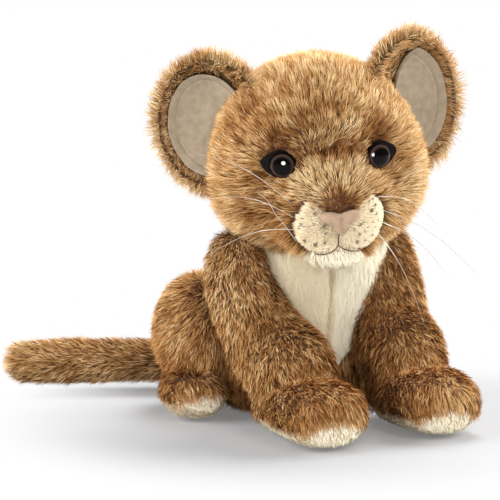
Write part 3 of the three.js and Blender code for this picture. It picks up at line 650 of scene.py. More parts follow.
def depth_in_head(points):
    """How deep each place in the scene lies inside the head's outer form."""
    local = in_head(points)
    return head_radius(unit(local)) - np.linalg.norm(local, axis=-1)


def smooth_loop(corners, count=12):
    """A closed curve through corner points, as many steps a span: on each span the cubic whose
    slope at a corner is half the chord between its neighbours."""
    corners = np.asarray(corners, float)
    t = (np.arange(count) / count)[:, None, None]
    p0, p1, p2, p3 = (np.roll(corners, 1 - k, axis=0)[None] for k in range(4))
    curve = (p1 + (p2 - p0) / 2 * t + (p0 - 2.5 * p1 + 2 * p2 - p3 / 2) * t ** 2
             + (1.5 * (p1 - p2) + (p3 - p0) / 2) * t ** 3)
    return curve.transpose(1, 0, 2).reshape(-1, 2)


def bell(away, width):
    """One in the middle, falling to nothing on both sides: e to the minus square of the distance
    away, measured in widths."""
    return np.exp(-(away / width) ** 2)


# Across and up of each outline, as shares of its width and of its height from the foot
patch_widths = {"left": 30 * mm, "right": -25 * mm}
patch_top, patch_bottom = -14 * mm, -44.8 * mm
patch_shares = np.array([
    [0.02, 0.62], [0.3, 0.8], [0.5, 0.93], [0.68, 1], [0.86, 0.82], [0.97, 0.56],
    [0.95, 0.34], [0.82, 0.17], [0.64, 0.06], [0.43, 0.03], [0.18, 0.06], [0.02, 0.125]])
chin_half_width, chin_middle = 19 * mm, -3 * mm
chin_top, chin_bottom = -37 * mm, -64 * mm
chin_shares = np.array([
    [0, 1], [0.7, 0.75], [1, 0.5], [0.62, 0.08], [0, 0], [-0.62, 0.08], [-1, 0.5], [-0.7, 0.75]])
# How deep the seams round the panels are sunk, and how wide they are
panel_seam_sink, panel_seam_width = 1.5 * mm, 1.8 * mm
patch_edge = {side: smooth_loop(columns(
    patch_shares[:, 0] * width, patch_bottom + patch_shares[:, 1] * (patch_top - patch_bottom)))
    for side, width in patch_widths.items()}
chin_edge = smooth_loop(columns(
    chin_middle + chin_shares[:, 0] * chin_half_width,
    chin_bottom + chin_shares[:, 1] * (chin_top - chin_bottom)))


def depth_in_patch(places, outline, front=-22 * mm):
    """How deep inside an outline on the face each place in the scene lies."""
    local = in_head(places)
    depth = depth_inside(local[:, [0, 2]], outline)
    return np.where(local[:, 1] < front, depth, -1.0)


def groove_round(made, outlines, sink, width):
    """Draws the skin in along seams, by a bell of the distance from the nearest outline."""
    points, normals, _ = read_mesh(made)
    pull = np.zeros(len(points))
    for outline in outlines:
        pull = np.maximum(pull, bell(np.abs(depth_in_patch(points, outline)), width))
    move_points(made, points - normals * (pull * sink)[:, None])


groove_round(head_skin, [*patch_edge.values(), chin_edge], panel_seam_sink, panel_seam_width)
fit_out(head_skin, "head", brown_backing, "brown_fur", "head_skin")

# Muzzle and chin
# Three panels of cream plush with a short pile: two pads either side of the cleft, freckled
# with dark spots, and a chin below them. Each is sewn to the head round its edge.
pad_rise, pad_thickness = 0.5 * mm, 1.6 * mm
chin_rise, chin_thickness = 0.4 * mm, 1.4 * mm
cream_backing = fabric_material("cream_backing", (0.42, 0.32, 0.21), (0.60, 0.48, 0.33), 120, 0.4)
head_points, _, _ = read_mesh(head_skin)
for side, outline in patch_edge.items():
    on_panel = depth_in_patch(head_points, outline) > 0
    pad = panel(f"muzzle_pad_{side}", head_skin, on_panel, pad_rise, pad_thickness)
    fit_out(pad, "head", cream_backing, "cream_plush", f"muzzle_patch_{side}")
on_panel = depth_in_patch(head_points, chin_edge) > 0
chin = panel("chin_panel", head_skin, on_panel, chin_rise, chin_thickness)
fit_out(chin, "head", cream_backing, "cream_plush", "chin_patch")

# Pile of the head
# It is brushed away from the nose in all directions: up over the brow and out over the cheeks, and from the
# crown it runs down the back. It is palest on both sides of the nose's bridge and dark right above the nose.
# The dark in the crease between the brows and round each eye's outer half is painted shade, and the paler
# crown is painted light.
nose_lift = -20.5
nose_outline = np.array([
    [0, 3.9], [4.0, 5.1], [9.2, 5.3], [11.8, 3.4], [10.7, 0.5], [7.0, -1.0], [5.1, -3.4], [3.4, -6.2],
    [0, -8.0], [-3.4, -6.2], [-5.1, -3.4], [-7.0, -1.0], [-10.7, 0.5], [-11.8, 3.4], [-9.2, 5.3],
    [-4.0, 5.1]]) * mm
under_nose = nose_outline * 0.86 - [0, 25.5 * mm]
under_nose_front = -40 * mm
eye_turn, eye_lift = 31, 6
head_pile_length = pile_length * 1.08
pad_plush, chin_plush = 3.0 * mm, 5.6 * mm
pad_mottle = {"left": 0.12, "right": 0.30}
# How much lighter or darker the pile is, partly its own tone and partly painted light and shade, then the
# turn, lift and spread of the place
head_shades = [
    (0.12, 0, 82, 40), (-0.62, 1, -14.5, 6), (-0.34, 0, 8, 5.5), (-0.34, -10, 10, 5), (-0.26, 5, 13, 4.5),
    (-0.22, -20, 12, 6), (-0.18, 14, 9, 5), (-0.14, -6, 40, 16), (-0.30, -32, 17, 8), (-0.30, 33, 14, 7.5),
    (-0.26, -44, -3, 7), (-0.24, 44, -6, 7), (-0.16, 47, 8, 6), (-0.18, -58, 26, 18), (0.10, 60, 20, 16),
    (-0.24, -66, 42, 10), (-0.18, 64, 42, 10), (-0.14, -40, -22, 12), (0.12, 66, -22, 22),
    (0.10, -70, -30, 18), (0.28, -14, -3, 9), (0.28, 14, -5, 9), (0.24, 0, -3, 6), (0.12, -22, 42, 11),
    (0.12, 30, 34, 12), (-0.44, -17, 5, 2.6), (-0.48, -11, 7.5, 2.6), (-0.52, -5, 9.5, 2.6),
    (-0.56, 1, 11, 2.8), (-0.36, 4.5, 14.5, 3), (-0.22, 11, 9, 3.5), (-0.40, -42.5, -2, 3),
    (-0.30, -49, -4, 3), (-0.22, -29, 22, 5), (0.16, 15, 21, 6)]


roots, normals = scatter(head_skin, blades_per_square * 1.15, 21)
local = in_head(roots)
directions = unit(local)
on_pad = np.maximum.reduce([depth_in_patch(roots, edge) for edge in patch_edge.values()])
on_chin = depth_in_patch(roots, chin_edge)
cream = np.maximum(on_pad, on_chin)
from_eye = np.min([degrees_from(directions, facing(sign * eye_turn, eye_lift)) for sign in (1, -1)], axis=0)
on_nose = depth_in_patch(roots, under_nose, under_nose_front) > 0
bare = (from_eye < 8.5) | on_nose
outwards = unit(directions - facing(0, nose_lift))
behind = np.clip((local[:, 1] / mm + 5) / 40, 0, 1)[:, None]
lay = outwards * (1 - behind) + np.array([0, 0.25, -1.0]) * behind
short = 1 - 0.45 * bell(from_eye, 13) - 0.35 * lobe(directions, 0, -14, 16)
short = short + 0.4 * (lobe(directions, 75, -28, 30) + lobe(directions, -75, -28, 30))
shade = 0.58 + sum(amount * lobe(directions, *place) for amount, *place in head_shades)
shade = shade + soft_noise(roots, 11 * mm, 22) * 0.14 + soft_noise(roots, 5 * mm, 24) * 0.11
brown = ~bare & (cream < 0.2 * mm) & (depth_in_body(roots) < 8 * mm)
grow_pile("head_pile", "head", brown_pile, "brown_fur", roots, normals, brown, lay @ head_axes.T,
          shade, 23, head_pile_length * short, width=0.46 * mm, lifts=(60, 34), lock=4.5 * mm,
          gather=0.5, wander=38, spread=0.3, start=0.12)

for side, outline in patch_edge.items():
    pad = bpy.data.objects[f"muzzle_pad_{side}"]
    pad_roots, pad_normals = scatter(pad, 4.2 / mm ** 2, 30 + len(side))
    local = in_head(pad_roots)
    on_nose = depth_in_patch(pad_roots, under_nose, under_nose_front) > 0
    top = ((pad_normals @ head_axes) * unit(local)).sum(-1) > 0.3
    spot_middles, spot_numbers = lock_middles(columns(local[:, 0], 0, local[:, 2]), 4.9 * mm, 31)
    spot_away = np.linalg.norm((spot_middles - local)[:, [0, 2]], axis=-1)
    inner = depth_in_patch(pad_roots, outline)
    spotted = (spot_away < (0.4 + 1.2 * spot_numbers) * mm) & (inner > 2.2 * mm)
    spotted &= np.abs(local[:, 0]) > 7 * mm
    mottled = pad_mottle[side] * np.maximum(soft_noise(pad_roots, 2.8 * mm, 34), 0)
    pad_shade = np.where(spotted, 0.03, 0.79 + 0.05 * soft_noise(pad_roots, 6 * mm, 32) - mottled)
    pad_lay = unit(local - on_head(0, muzzle_lift, 0) + head_middle)
    grow_pile(f"muzzle_{side}_pile", "head", cream_pile, "cream_plush", pad_roots, pad_normals,
              top & ~on_nose, pad_lay @ head_axes.T, pad_shade, 33, pad_plush * (1 - 0.3 * spotted),
              width=0.34 * mm, lifts=(68, 34), lock=1.8 * mm, gather=0.3, wander=14, spread=0.07, start=0.35)
chin_lay = np.broadcast_to(np.array([0, -0.7, -1.0]) @ head_axes.T, roots.shape)
grow_pile("chin_pile", "head", cream_pile, "cream_plush", roots, normals,
          (on_chin > 0.2 * mm) & (on_pad <= 0.2 * mm), chin_lay, 0.98, 35, chin_plush,
          width=0.42 * mm, lifts=(60, 34), lock=2.2 * mm, gather=0.15, spread=0.05, start=0.6)

# Chest bib
# A tapering panel of longer cream plush on the chest, from under the chin to a point between
# the front legs, sewn to the body. Its two halves meet in a seam that shows as a tan parting
# and runs a little to the lion's right of the middle.
bib_half_width = 41 * mm
bib_top, bib_bottom = 0.99 * body_height, 0.24 * body_height
bib_shares = np.array([[1.12, 1], [0.98, 0.72], [0.66, 0.4], [0.34, 0.14], [0.1, 0]])
bib_edge = columns(bib_shares[:, 0] * bib_half_width, bib_bottom + bib_shares[:, 1] * (bib_top - bib_bottom))
bib_edge = np.vstack([bib_edge, (bib_edge * [-1, 1])[::-1]])
bib_front = -28 * mm
bib_rise, bib_thickness = 0.6 * mm, 1.6 * mm
bib_plush = 7.4 * mm
seam_sink, seam_width = 1.2 * mm, 2.2 * mm
head_bed = 3 * mm


def part_way(distance, span):
    """The share of a span that a distance has covered, from 0 to 1."""
    return np.clip(distance / span, 0, 1)


def seam_line(places):
    """How far across the bib's seam runs: 7 mm to the lion's right above, 2 mm at its foot."""
    return -(2 + 5 * part_way(places[:, 2] - bib_bottom, bib_top - bib_bottom)) * mm


def depth_in_bib(places):
    """How deep inside the bib's outline each place on the front of the body lies."""
    depth = depth_inside(places[:, [0, 2]], bib_edge)
    return np.where(places[:, 1] < bib_front, depth, -1.0)


body_points, body_normals, _ = read_mesh(body_skin)
seam = bell(body_points[:, 0] - seam_line(body_points), seam_width) * (body_points[:, 1] < 0)
body_points -= body_normals * (seam * seam_sink)[:, None]
# The top of the body is hollowed by the head that sits in it
into_head = np.maximum(depth_in_head(body_points) - head_bed, 0)
body_points += unit(in_head(body_points)) @ head_axes.T * into_head[:, None]
move_points(body_skin, body_points)
fit_out(body_skin, "torso", brown_backing, "brown_fur", "torso_skin")
bib = panel("bib_panel", body_skin, depth_in_bib(body_points) > 0, bib_rise, bib_thickness)
fit_out(bib, "torso", cream_backing, "cream_plush", "chest_bib")

roots, normals = scatter(body_skin, blades_per_square, 41)
in_bib = depth_in_bib(roots)
seen = depth_in_head(roots) < 2 * mm
underneath = roots[:, 2] < 4.5 * mm
lay = np.array([0, 0.12, -1.0]) + normals * [0.3, 0.3, 0]
# Painted shade: the pile is darker towards the floor and where the front legs meet the chest
low = part_way(35 * mm - roots[:, 2], 35 * mm)
shade = 0.42 - 0.12 * low + soft_noise(roots, 14 * mm, 42) * 0.10
shade = shade - 0.16 * bell(np.abs(roots[:, 0]) - 34 * mm, 9 * mm) * (roots[:, 1] < -30 * mm)
length = np.where(underneath, 0.5, 1.0) * pile_length
grow_pile("body_pile", "torso", brown_pile, "brown_fur", roots, normals, seen & (in_bib < 0.2 * mm),
          lay, shade, 43, length)
roots, normals = scatter(bib, blades_per_square * 2.6, 46)
creamy = (depth_in_head(roots) < 2 * mm) & (normals[:, 1] < 0)
from_seam = roots[:, 0] - seam_line(roots)
# Painted light and shade: the lion's left half of the bib is lighter than its right
bib_painted_light_side = np.tanh(from_seam / (2 * mm))
parting = bell(from_seam, 2.0 * mm)
bib_lay = np.array([0, 0, -1.0]) + np.sign(from_seam)[:, None] * [0.3, 0, 0] * parting[:, None]
bib_shade = 0.90 - 0.34 * parting + 0.08 * bib_painted_light_side + soft_noise(roots, 12 * mm, 44) * 0.05
grow_pile("bib_pile", "torso", cream_pile, "cream_plush", roots, normals, creamy, bib_lay, bib_shade,
          45, bib_plush * (1 - 0.3 * parting), lifts=(42, 14), lock=2.6 * mm, gather=0.2, spread=0.07,
          wander=26, start=0.7)

# Front legs
# Each is one stuffed tube of the fur fabric, sewn on at the shoulder, that bends into a broad
# paw along the floor with a cream sole. Leg and paw are worked out apart, then melted into one
# skin. The right leg is slimmer on its inner side.
shoulder_across, shoulder_height, shoulder_forward = 43 * mm, 116 * mm, 28 * mm
leg_half_width, leg_half_depth = 25.5 * mm, 27 * mm
paw_length, paw_half_width, paw_half_height = 80 * mm, 27 * mm, 22 * mm
paw_tip, paw_spread = 133.5 * mm, 37 * mm
# How far each shoulder is pressed in towards the chest
shoulder_tucks = {"left": 6 * mm, "right": -2 * mm}
# How much the inner side of each leg is drawn in at its five stations
arm_slimming = {"left": np.zeros(5), "right": np.array([6.5, 6.5, 2.5, 0, 0]) * mm}
sole_flat_share = 0.88
paw_heel = -paw_tip + paw_length
leg_reach = -paw_heel - shoulder_forward + paw_length / 4
# Across, forward and height of the leg's middle line, and its half-width and half-depth
leg_shares = np.array([[0.94, 0, 1, 0.9, 0.88], [1.04, 0.2, 0.72, 1, 1], [1, 0.55, 0.46, 1, 0.96],
                       [1, 0.98, 0.33, 1.04, 1.02], [1, 1.5, 0.21, 0.98, 0.8]])
# How far along it each station of the paw lies, and its half-width
paw_shares = np.array([[0, 0.9], [0.35, 0.96], [0.7, 1.02], [1, 1]])
# Painted rim light: how much lighter the upper outer side of each leg is painted
outer_rim_light = {"left": 0.5, "right": 0.26}
melt_size, melt_rounds = 1.8 * mm, 24
seam_depth = 4 * mm
hidden_depth = 6 * mm
# How high a sole reaches, how much further it turns up at the toes, and how far from the heel
# it starts
paw_sole_height, paw_toe_rise, sole_heel_gap = 12.5 * mm, 7 * mm, 9 * mm
sole_rise, sole_thickness = 0.6 * mm, 1.6 * mm
sole_plush = 5.0 * mm
both_sides = (("left", 1), ("right", -1))


def body_middle_at(heights):
    """The middle of the body's section at each height."""
    middle = catmull_rom(body_form["path"], np.linspace(0, 1, 200))
    return columns(0, np.interp(heights, middle[:, 2], middle[:, 1]), heights)


def melted(name, ring_stacks):
    """One skin from overlapping ones: cut into small cubes, smoothed, and kept outside the body
    but for the depth of its seam."""
    points, triangles, count = [], [], 0
    for rings in ring_stacks:
        part = mesh_object(name, *closed_rings(rings))
        places, _, faces = read_mesh(part)
        bpy.data.objects.remove(part)
        points.append(places)
        triangles.append(faces + count)
        count += len(places)
    rough = mesh_object(name, np.vstack(points), np.vstack(triangles))
    cubes = rough.modifiers.new("cubes", "REMESH")
    cubes.mode = "VOXEL"
    cubes.voxel_size = melt_size
    smooth = rough.modifiers.new("smooth", "SMOOTH")
    smooth.factor = 0.5
    smooth.iterations = melt_rounds
    shaped = bpy.data.meshes.new_from_object(rough.evaluated_get(bpy.context.evaluated_depsgraph_get()))
    bpy.data.objects.remove(rough)
    shaped.name = name
    shaped.polygons.foreach_set("use_smooth", np.ones(len(shaped.polygons), bool))
    made = in_scene(name, shaped)
    places, _, _ = read_mesh(made)
    sunk = np.maximum(depth_in_body(places, pile_stand) - seam_depth, 0)
    outwards = unit((places - body_middle_at(places[:, 2])) * [1, 1, 0])
    move_points(made, places + outwards * sunk[:, None])
    return made


def flat_soled(shares, across, heel, length, half_width, half_height, end_power):
    """The form of a paw or a foot: a tube along the floor from its heel forward, cut flat below."""
    along, wide = shares.T
    return {
        "path": columns(across, heel - along * length, sole_flat_share * half_height - floor_cut),
        "girths": columns(wide * half_width, half_height, sole_flat_share),
        "across": (1, 0, 0), "end_power": end_power}


def dressed_leg(kind, side, ring_stacks, is_sole, seed):
    """The skin of a leg, with its cream sole: a panel over the part of it that lies lowest."""
    body = f"{kind}_leg_{side}"
    skin = melted(f"{body}_cover", ring_stacks)
    lumpy(skin, 0.8 * mm, 22 * mm, seed)
    fit_out(skin, body, brown_backing, "brown_fur", f"{body}_skin")
    points, _, _ = read_mesh(skin)
    sole = panel(f"{kind}_sole_{side}", skin, is_sole(points), sole_rise, sole_thickness)
    fit_out(sole, body, cream_backing, "cream_plush", f"{body}_sole")
    return skin


def wavered(places, seed):
    """Places let up and down by soft noise, so that the edge of a sole's pile isn't ruled."""
    return places - [0, 0, 1.2 * mm] * soft_noise(places, 7 * mm, seed)[:, None]


def sole_pile(kind, side, roots, normals, where, lay, shade, seed):
    """The short, laid cream pile of a sole."""
    grow_pile(f"{kind}_sole_{side}_pile", f"{kind}_leg_{side}", cream_pile, "cream_plush", roots,
              normals, where, lay, shade, seed, sole_plush, lifts=(40, 10), lock=3 * mm, gather=0.3,
              spread=0.06, start=0.6)


def paw_sole(places):
    """Whether each place is on a paw's sole, which turns up a little at the middle of the toes."""
    at_toes = part_way(-places[:, 1] - paw_tip + 18 * mm, 12 * mm)
    middle = np.clip(1 - ((np.abs(places[:, 0]) - paw_spread) / (22 * mm)) ** 2, 0, 1)
    height = paw_sole_height + paw_toe_rise * at_toes * middle
    return (places[:, 2] < height) & (places[:, 1] < paw_heel - sole_heel_gap)


leg_forms = {}
leg_outs, leg_aheads, leg_levels, leg_widths, leg_depths = leg_shares.T
for side, sign in both_sides:
    paw_across, shoulder = sign * paw_spread, sign * shoulder_across
    slimmed = arm_slimming[side]
    leg_form = {
        "path": columns(leg_outs * (shoulder + (paw_across - shoulder) * leg_aheads)
                        - sign * shoulder_tucks[side] * (1 - leg_aheads) + sign * slimmed,
                        -shoulder_forward - leg_aheads * leg_reach, leg_levels * shoulder_height),
        "girths": columns(leg_widths * leg_half_width - slimmed, leg_depths * leg_half_depth, 1),
        "across": (1, 0, 0), "end_power": 4.5}
    leg_forms[side] = leg_form
    paw_form = flat_soled(paw_shares, paw_across, paw_heel, paw_length, paw_half_width, paw_half_height, 4.5)
    leg_stacks = [stuffed_form(form, pile_stand, 60, 64) for form in (leg_form, paw_form)]
    skin = dressed_leg("front", side, leg_stacks, paw_sole, 50 + sign)
    roots, normals = scatter(skin, blades_per_square, 60 + sign)
    outside = depth_in_body(roots) < hidden_depth
    on_sole = paw_sole(wavered(roots, 61))
    along_leg = unit(np.array([paw_across - shoulder, -leg_reach, -shoulder_height * 0.85]))
    on_paw = np.maximum(part_way(30 * mm - roots[:, 2], 22 * mm), part_way(-roots[:, 1] - 88 * mm, 12 * mm))
    on_paw = on_paw[:, None]
    at_tip = part_way(-roots[:, 1] - paw_tip + 16 * mm, 12 * mm)[:, None]
    paw_lay = np.array([0, -1.0, -0.25]) + normals * [0.6, 0, 0]
    lay = along_leg * (1 - on_paw) + paw_lay * on_paw + np.array([0, 0, -1.2]) * at_tip
    # Painted shade darkens each leg's inner side and a band round its bend, and painted rim light pales its
    # upper outer side
    inner = np.clip(-normals[:, 0] * sign, 0, 1)
    outer = np.clip(normals[:, 0] * sign, 0, 1) ** 3 * np.clip(roots[:, 2] / (50 * mm) - 0.5, 0, 1)
    shade = 0.42 - 0.14 * inner + outer_rim_light[side] * outer + 0.10 * at_tip[:, 0]
    shade = shade + soft_noise(roots, 13 * mm, 62) * 0.12
    shade = shade - 0.06 * bell(roots[:, 2] - 70 * mm, 12 * mm) - 0.02 * on_paw[:, 0]
    grow_pile(f"front_leg_{side}_pile", f"front_leg_{side}", brown_pile, "brown_fur", roots, normals,
              outside & ~on_sole, lay, shade, 63 + sign,
              lifts=(56 - 16 * on_paw[:, 0], 26 - 11 * on_paw[:, 0]),
              start=0.1 + (0.25 + 0.3 * np.clip(normals[:, 2:], 0, 1)) * on_paw)
    sole_pile("front", side, roots, normals, outside & on_sole, lay,
              0.97 + 0.03 * soft_noise(roots, 8 * mm, 65), 66 + sign)

# Hind legs
# A round haunch of the fur fabric lies against the hip, where it is sewn on, and a short foot
# with a cream sole points forward under it. Both are melted into one skin as a front leg is.
haunch_middle = np.array([53, 12, 45]) * mm
haunch_sizes = np.array([27, 37, 39]) * mm
foot_across, foot_length, foot_heel = 67 * mm, 52 * mm, 22 * mm
foot_half_width, foot_half_height, foot_toe_out = 21 * mm, 18 * mm, 9 * mm
foot_sole_height, foot_toe_rise = 12 * mm, 6.5 * mm
# How far along it each station of the foot lies, and its half-width
foot_shares = np.array([[0, 0.88], [0.4, 0.96], [0.75, 1.02], [1, 1]])


def foot_sole(places):
    """Whether each place is on a foot's sole, which turns up at the toes."""
    at_toes = part_way(foot_heel - foot_length + 16 * mm - places[:, 1], 12 * mm)
    height = foot_sole_height + foot_toe_rise * at_toes
    return (places[:, 2] < height) & (places[:, 1] < foot_heel - sole_heel_gap)


for side, sign in both_sides:
    foot_line = sign * (foot_across + (foot_shares[:, 0] - 0.5) * foot_toe_out)
    foot_form = flat_soled(
        foot_shares, foot_line, foot_heel, foot_length, foot_half_width, foot_half_height, 3)
    haunch = ball(haunch_middle * [sign, 1, 1], haunch_sizes - pile_stand, 40, 56)
    foot = stuffed_form(foot_form, pile_stand, 48, 56)
    skin = dressed_leg("hind", side, [haunch, foot], foot_sole, 70 + sign)
    roots, normals = scatter(skin, blades_per_square, 75 + sign)
    outside = depth_in_body(roots) < hidden_depth
    on_sole = foot_sole(wavered(roots, 76))
    on_foot = part_way(34 * mm - roots[:, 2], 14 * mm)[:, None]
    foot_lay = np.array([0, -1.0, -0.3]) + normals * [0.7, 0, 0]
    lay = np.array([0, 0.35, -1.0]) * (1 - on_foot) + foot_lay * on_foot
    # Painted shade darkens a band at the crease where the haunch meets the foot
    haunch_crease_shade = bell(roots[:, 2] - 32 * mm, 7 * mm)
    shade = 0.46 - 0.14 * haunch_crease_shade + 0.05 * on_foot[:, 0] + soft_noise(roots, 13 * mm, 77) * 0.11
    grow_pile(f"hind_leg_{side}_pile", f"hind_leg_{side}", brown_pile, "brown_fur", roots, normals,
              outside & ~on_sole, lay, shade, 78 + sign,
              lifts=(58 - 16 * on_foot[:, 0], 28 - 12 * on_foot[:, 0]),
              start=0.1 + (0.22 + 0.3 * np.clip(normals[:, 2:], 0, 1)) * on_foot)
    sole_pile("hind", side, roots, normals, outside & on_sole, lay,
              0.94 + 0.04 * soft_noise(roots, 8 * mm, 79), 80 + sign)

# Tail
# A straight stuffed rod of the fur fabric with a blunt, fluffy end. It is sewn to the middle of
# the rump and lies out to the lion's right.
tail_radius, tail_reach, tail_back = 13.8 * mm, 132 * mm, 113 * mm
tail_root_back, tail_root_up, tail_tip_up = 40 * mm, 19.5 * mm, 18 * mm
tail_stand = 3.6 * mm
# Across, back and height of the middle line between the root and the tip, and its girth
tail_shares = np.array([[0, 0, 1, 1.02], [0.1, 0.2, 0.8, 1], [0.35, 0.45, 0.4, 0.94],
                        [0.67, 0.72, 0.1, 0.96], [1, 1, 0, 1.04]])
tail_outs, tail_backs, tail_levels, tail_girths = tail_shares.T
tail_form = {
    "path": columns(-tail_outs * tail_reach, tail_root_back + tail_backs * (tail_back - tail_root_back),
                    tail_tip_up + tail_levels * (tail_root_up - tail_tip_up)),
    "girths": columns(tail_girths * tail_radius, tail_girths * tail_radius, 1),
    "across": (0, 0, 1), "power": 2, "end_power": 5}
tail_skin = mesh_object("tail_cover", *closed_rings(stuffed_form(tail_form, tail_stand, 90, 48)))
lumpy(tail_skin, 0.7 * mm, 16 * mm, 85)
fit_out(tail_skin, "tail", brown_backing, "brown_fur", "tail_skin")
roots, normals = scatter(tail_skin, blades_per_square * 1.1, 86)
tail_line = unit(np.array([-tail_reach, tail_back - tail_root_back, 0]))
# Painted light makes the end of the tail lighter, where its pile is also longer
at_end = part_way(-roots[:, 0] - tail_reach + 26 * mm, 24 * mm)
shade = 0.57 + 0.10 * at_end + soft_noise(roots, 12 * mm, 87) * 0.10
grow_pile("tail_pile", "tail", brown_pile, "brown_fur", roots, normals, depth_in_body(roots) < 5 * mm,
          np.broadcast_to(tail_line, roots.shape), shade, 88, pile_length * (1 + 0.15 * at_end),
          lifts=(56, 28))

# Ears
# A furry cup with a rolled rim, turned outwards and sewn to the side of the crown. It is lined
# with short grey-beige velour, an oval with a groove near its edge. The cup is a turned profile,
# narrowed from side to side, with no pile on its steep inner wall. The right ear hangs a little.
ear_radius, ear_width_share = 41 * mm, 0.87
ear_across, ear_back, ear_up = 57 * mm, 6 * mm, 25 * mm
ear_turn, ear_lift = 30, 4
# Radius and height of the cup's profile, from the middle of its back round the rim
ear_cup_shares = np.array([
    [0, -0.4], [0.35, -0.36], [0.68, -0.24], [0.92, -0.02], [1, 0.14], [0.95, 0.23],
    [0.88, 0.24], [0.81, 0.18], [0.77, 0.08], [0.6, -0.08], [0.32, -0.19], [0, -0.23]])
ear_stand = 3.6 * mm
lining_shares = np.array([[0, -0.215], [0.32, -0.17], [0.6, -0.06], [0.76, 0.09]])
lining_thickness = 1.4 * mm
lining_groove, groove_share, groove_width_share = 0.7 * mm, 0.87, 0.02
lining_half_height = 31 * mm
# How far the right ear hangs, and how far its lining is set down in it
ear_drops = {"left": (0, 0), "right": (-2.5 * mm, -2.5 * mm)}
# Half-width of each lining and how far it lies outwards: fur covers the left one's inner side
lining_widths = {"left": (14.5 * mm, 14.5 * mm), "right": (23 * mm, 6 * mm)}


def turned(profile, sides):
    """Rings of a profile of radius and height turned about the Y axis: across is the radius
    times the sine of the turn, and up is the radius times its cosine."""
    turn = np.linspace(0, 2 * np.pi, sides, endpoint=False)[None]
    radius = np.maximum(profile[:, :1], 0)
    return columns(radius * np.sin(turn), profile[:, 1:], radius * np.cos(turn))


def facing_axes(turn, lift):
    """The directions across, ahead and up of a shape that faces a direction, as columns."""
    ahead = facing(turn, lift)
    sideways = np.array([np.cos(np.radians(turn)), np.sin(np.radians(turn)), 0])
    return np.stack([sideways, ahead, np.cross(ahead, sideways)], axis=1)


def faced(points, origin, turn, lift, slant=0):
    """Points of a shape that faces +Y, set to face a direction from a place about the neck."""
    return origin + points @ (facing_axes(turn, lift) @ turning(1, np.radians(-slant))).T


velour = fabric_material("ear_velour", (0.33, 0.262, 0.182), (0.405, 0.325, 0.23), 260, 0.5, 0.9, 0.15)
cup_profile = catmull_rom(ear_cup_shares * ear_radius, np.linspace(0, 1, 74)[1:-1])
bowl = catmull_rom(lining_shares * ear_radius, np.linspace(0, 1, 60))
for side, sign in both_sides:
    ear_drop, lining_drop = ear_drops[side]
    ear_place = np.array([sign * ear_across, ear_back, ear_up + ear_drop]) + head_middle
    lining_half_width, lining_shift = lining_widths[side]

    def ear_point(points):
        """A shape drawn about the ear's middle, narrowed and put in its place on the head."""
        return in_place(faced(points * [ear_width_share, 1, 1], ear_place, sign * ear_turn, ear_lift))

    skin = mesh_object(f"ear_{side}_cover", *closed_rings(ear_point(turned(cup_profile, 96))))
    points, normals, _ = read_mesh(skin)
    move_points(skin, points - normals * ear_stand)
    lumpy(skin, 0.5 * mm, 14 * mm, 90 + sign)
    fit_out(skin, f"ear_{side}", brown_backing, "brown_fur", f"ear_back_{side}")
    round_edge = np.linspace(0, 2 * np.pi, 90, endpoint=False)
    edge = columns(lining_half_width / ear_width_share * np.cos(round_edge) + sign * lining_shift,
                   lining_half_height * np.sin(round_edge) + lining_drop)
    edge *= np.minimum(1, lining_shares[-1, 0] * ear_radius / np.linalg.norm(edge, axis=1))[:, None]
    share = np.sqrt(np.linspace(0.004, 1, 70))[:, None, None]
    flat = edge[None] * share
    height = np.interp(np.linalg.norm(flat, axis=-1), bowl[:, 0], bowl[:, 1])
    height = height - lining_groove * bell(share[..., 0] - groove_share, groove_width_share)
    sheet = columns(flat[..., 0], height, flat[..., 1])
    rings = np.concatenate([sheet, sheet[::-1] + [0, lining_thickness, 0]])
    lining = mesh_object(f"ear_{side}_lining", *closed_rings(ear_point(rings)))
    lumpy(lining, 0.35 * mm, 12 * mm, 94 + sign)
    fit_out(lining, f"ear_{side}", velour, "velour", f"ear_lining_{side}")
    roots, normals = scatter(skin, blades_per_square * 1.2, 96 + sign)
    local = in_head(roots) + head_middle - ear_place
    sideways, ahead, upwards = facing_axes(sign * ear_turn, ear_lift).T
    ear_ahead = ahead @ head_axes.T
    across, up = local @ sideways, local @ upwards
    away = np.hypot(across / ear_width_share, up)
    front = normals @ ear_ahead
    from_lining = columns((across - sign * lining_shift * ear_width_share) / lining_half_width,
                          (up - lining_drop) / lining_half_height)
    lined = ((from_lining ** 2).sum(-1) < 1) & (away < 0.78 * ear_radius) & (front > 0)
    radial = unit((sideways * across[:, None] + upwards * up[:, None]) @ head_axes.T)
    steep = ((normals * radial).sum(-1) < -0.92) & (away < 0.9 * ear_radius)
    lay = radial + ear_ahead * np.where(front > 0.1, 0.1, -0.35)[:, None]
    # Painted light pales the rim, and painted shade darkens the fur beside the edge of the lining
    inner_edge = (front > 0.1) * part_way(0.92 * ear_radius - away, 0.1 * ear_radius)
    shade = 0.78 + 0.08 * (away > 0.9 * ear_radius) - 0.10 * inner_edge
    shade = shade + soft_noise(roots, 10 * mm, 98) * 0.12
    grow_pile(f"ear_{side}_pile", f"ear_{side}", brown_pile, "brown_fur", roots, normals,
              (depth_in_head(roots) < 4 * mm) & ~lined & ~steep, lay, shade, 99 + sign,
              pile_length * (1.3 - 0.2 * inner_edge), lifts=(50, 28), lock=5 * mm, gather=0.6,
              start=0.36 + 0.1 * inner_edge)

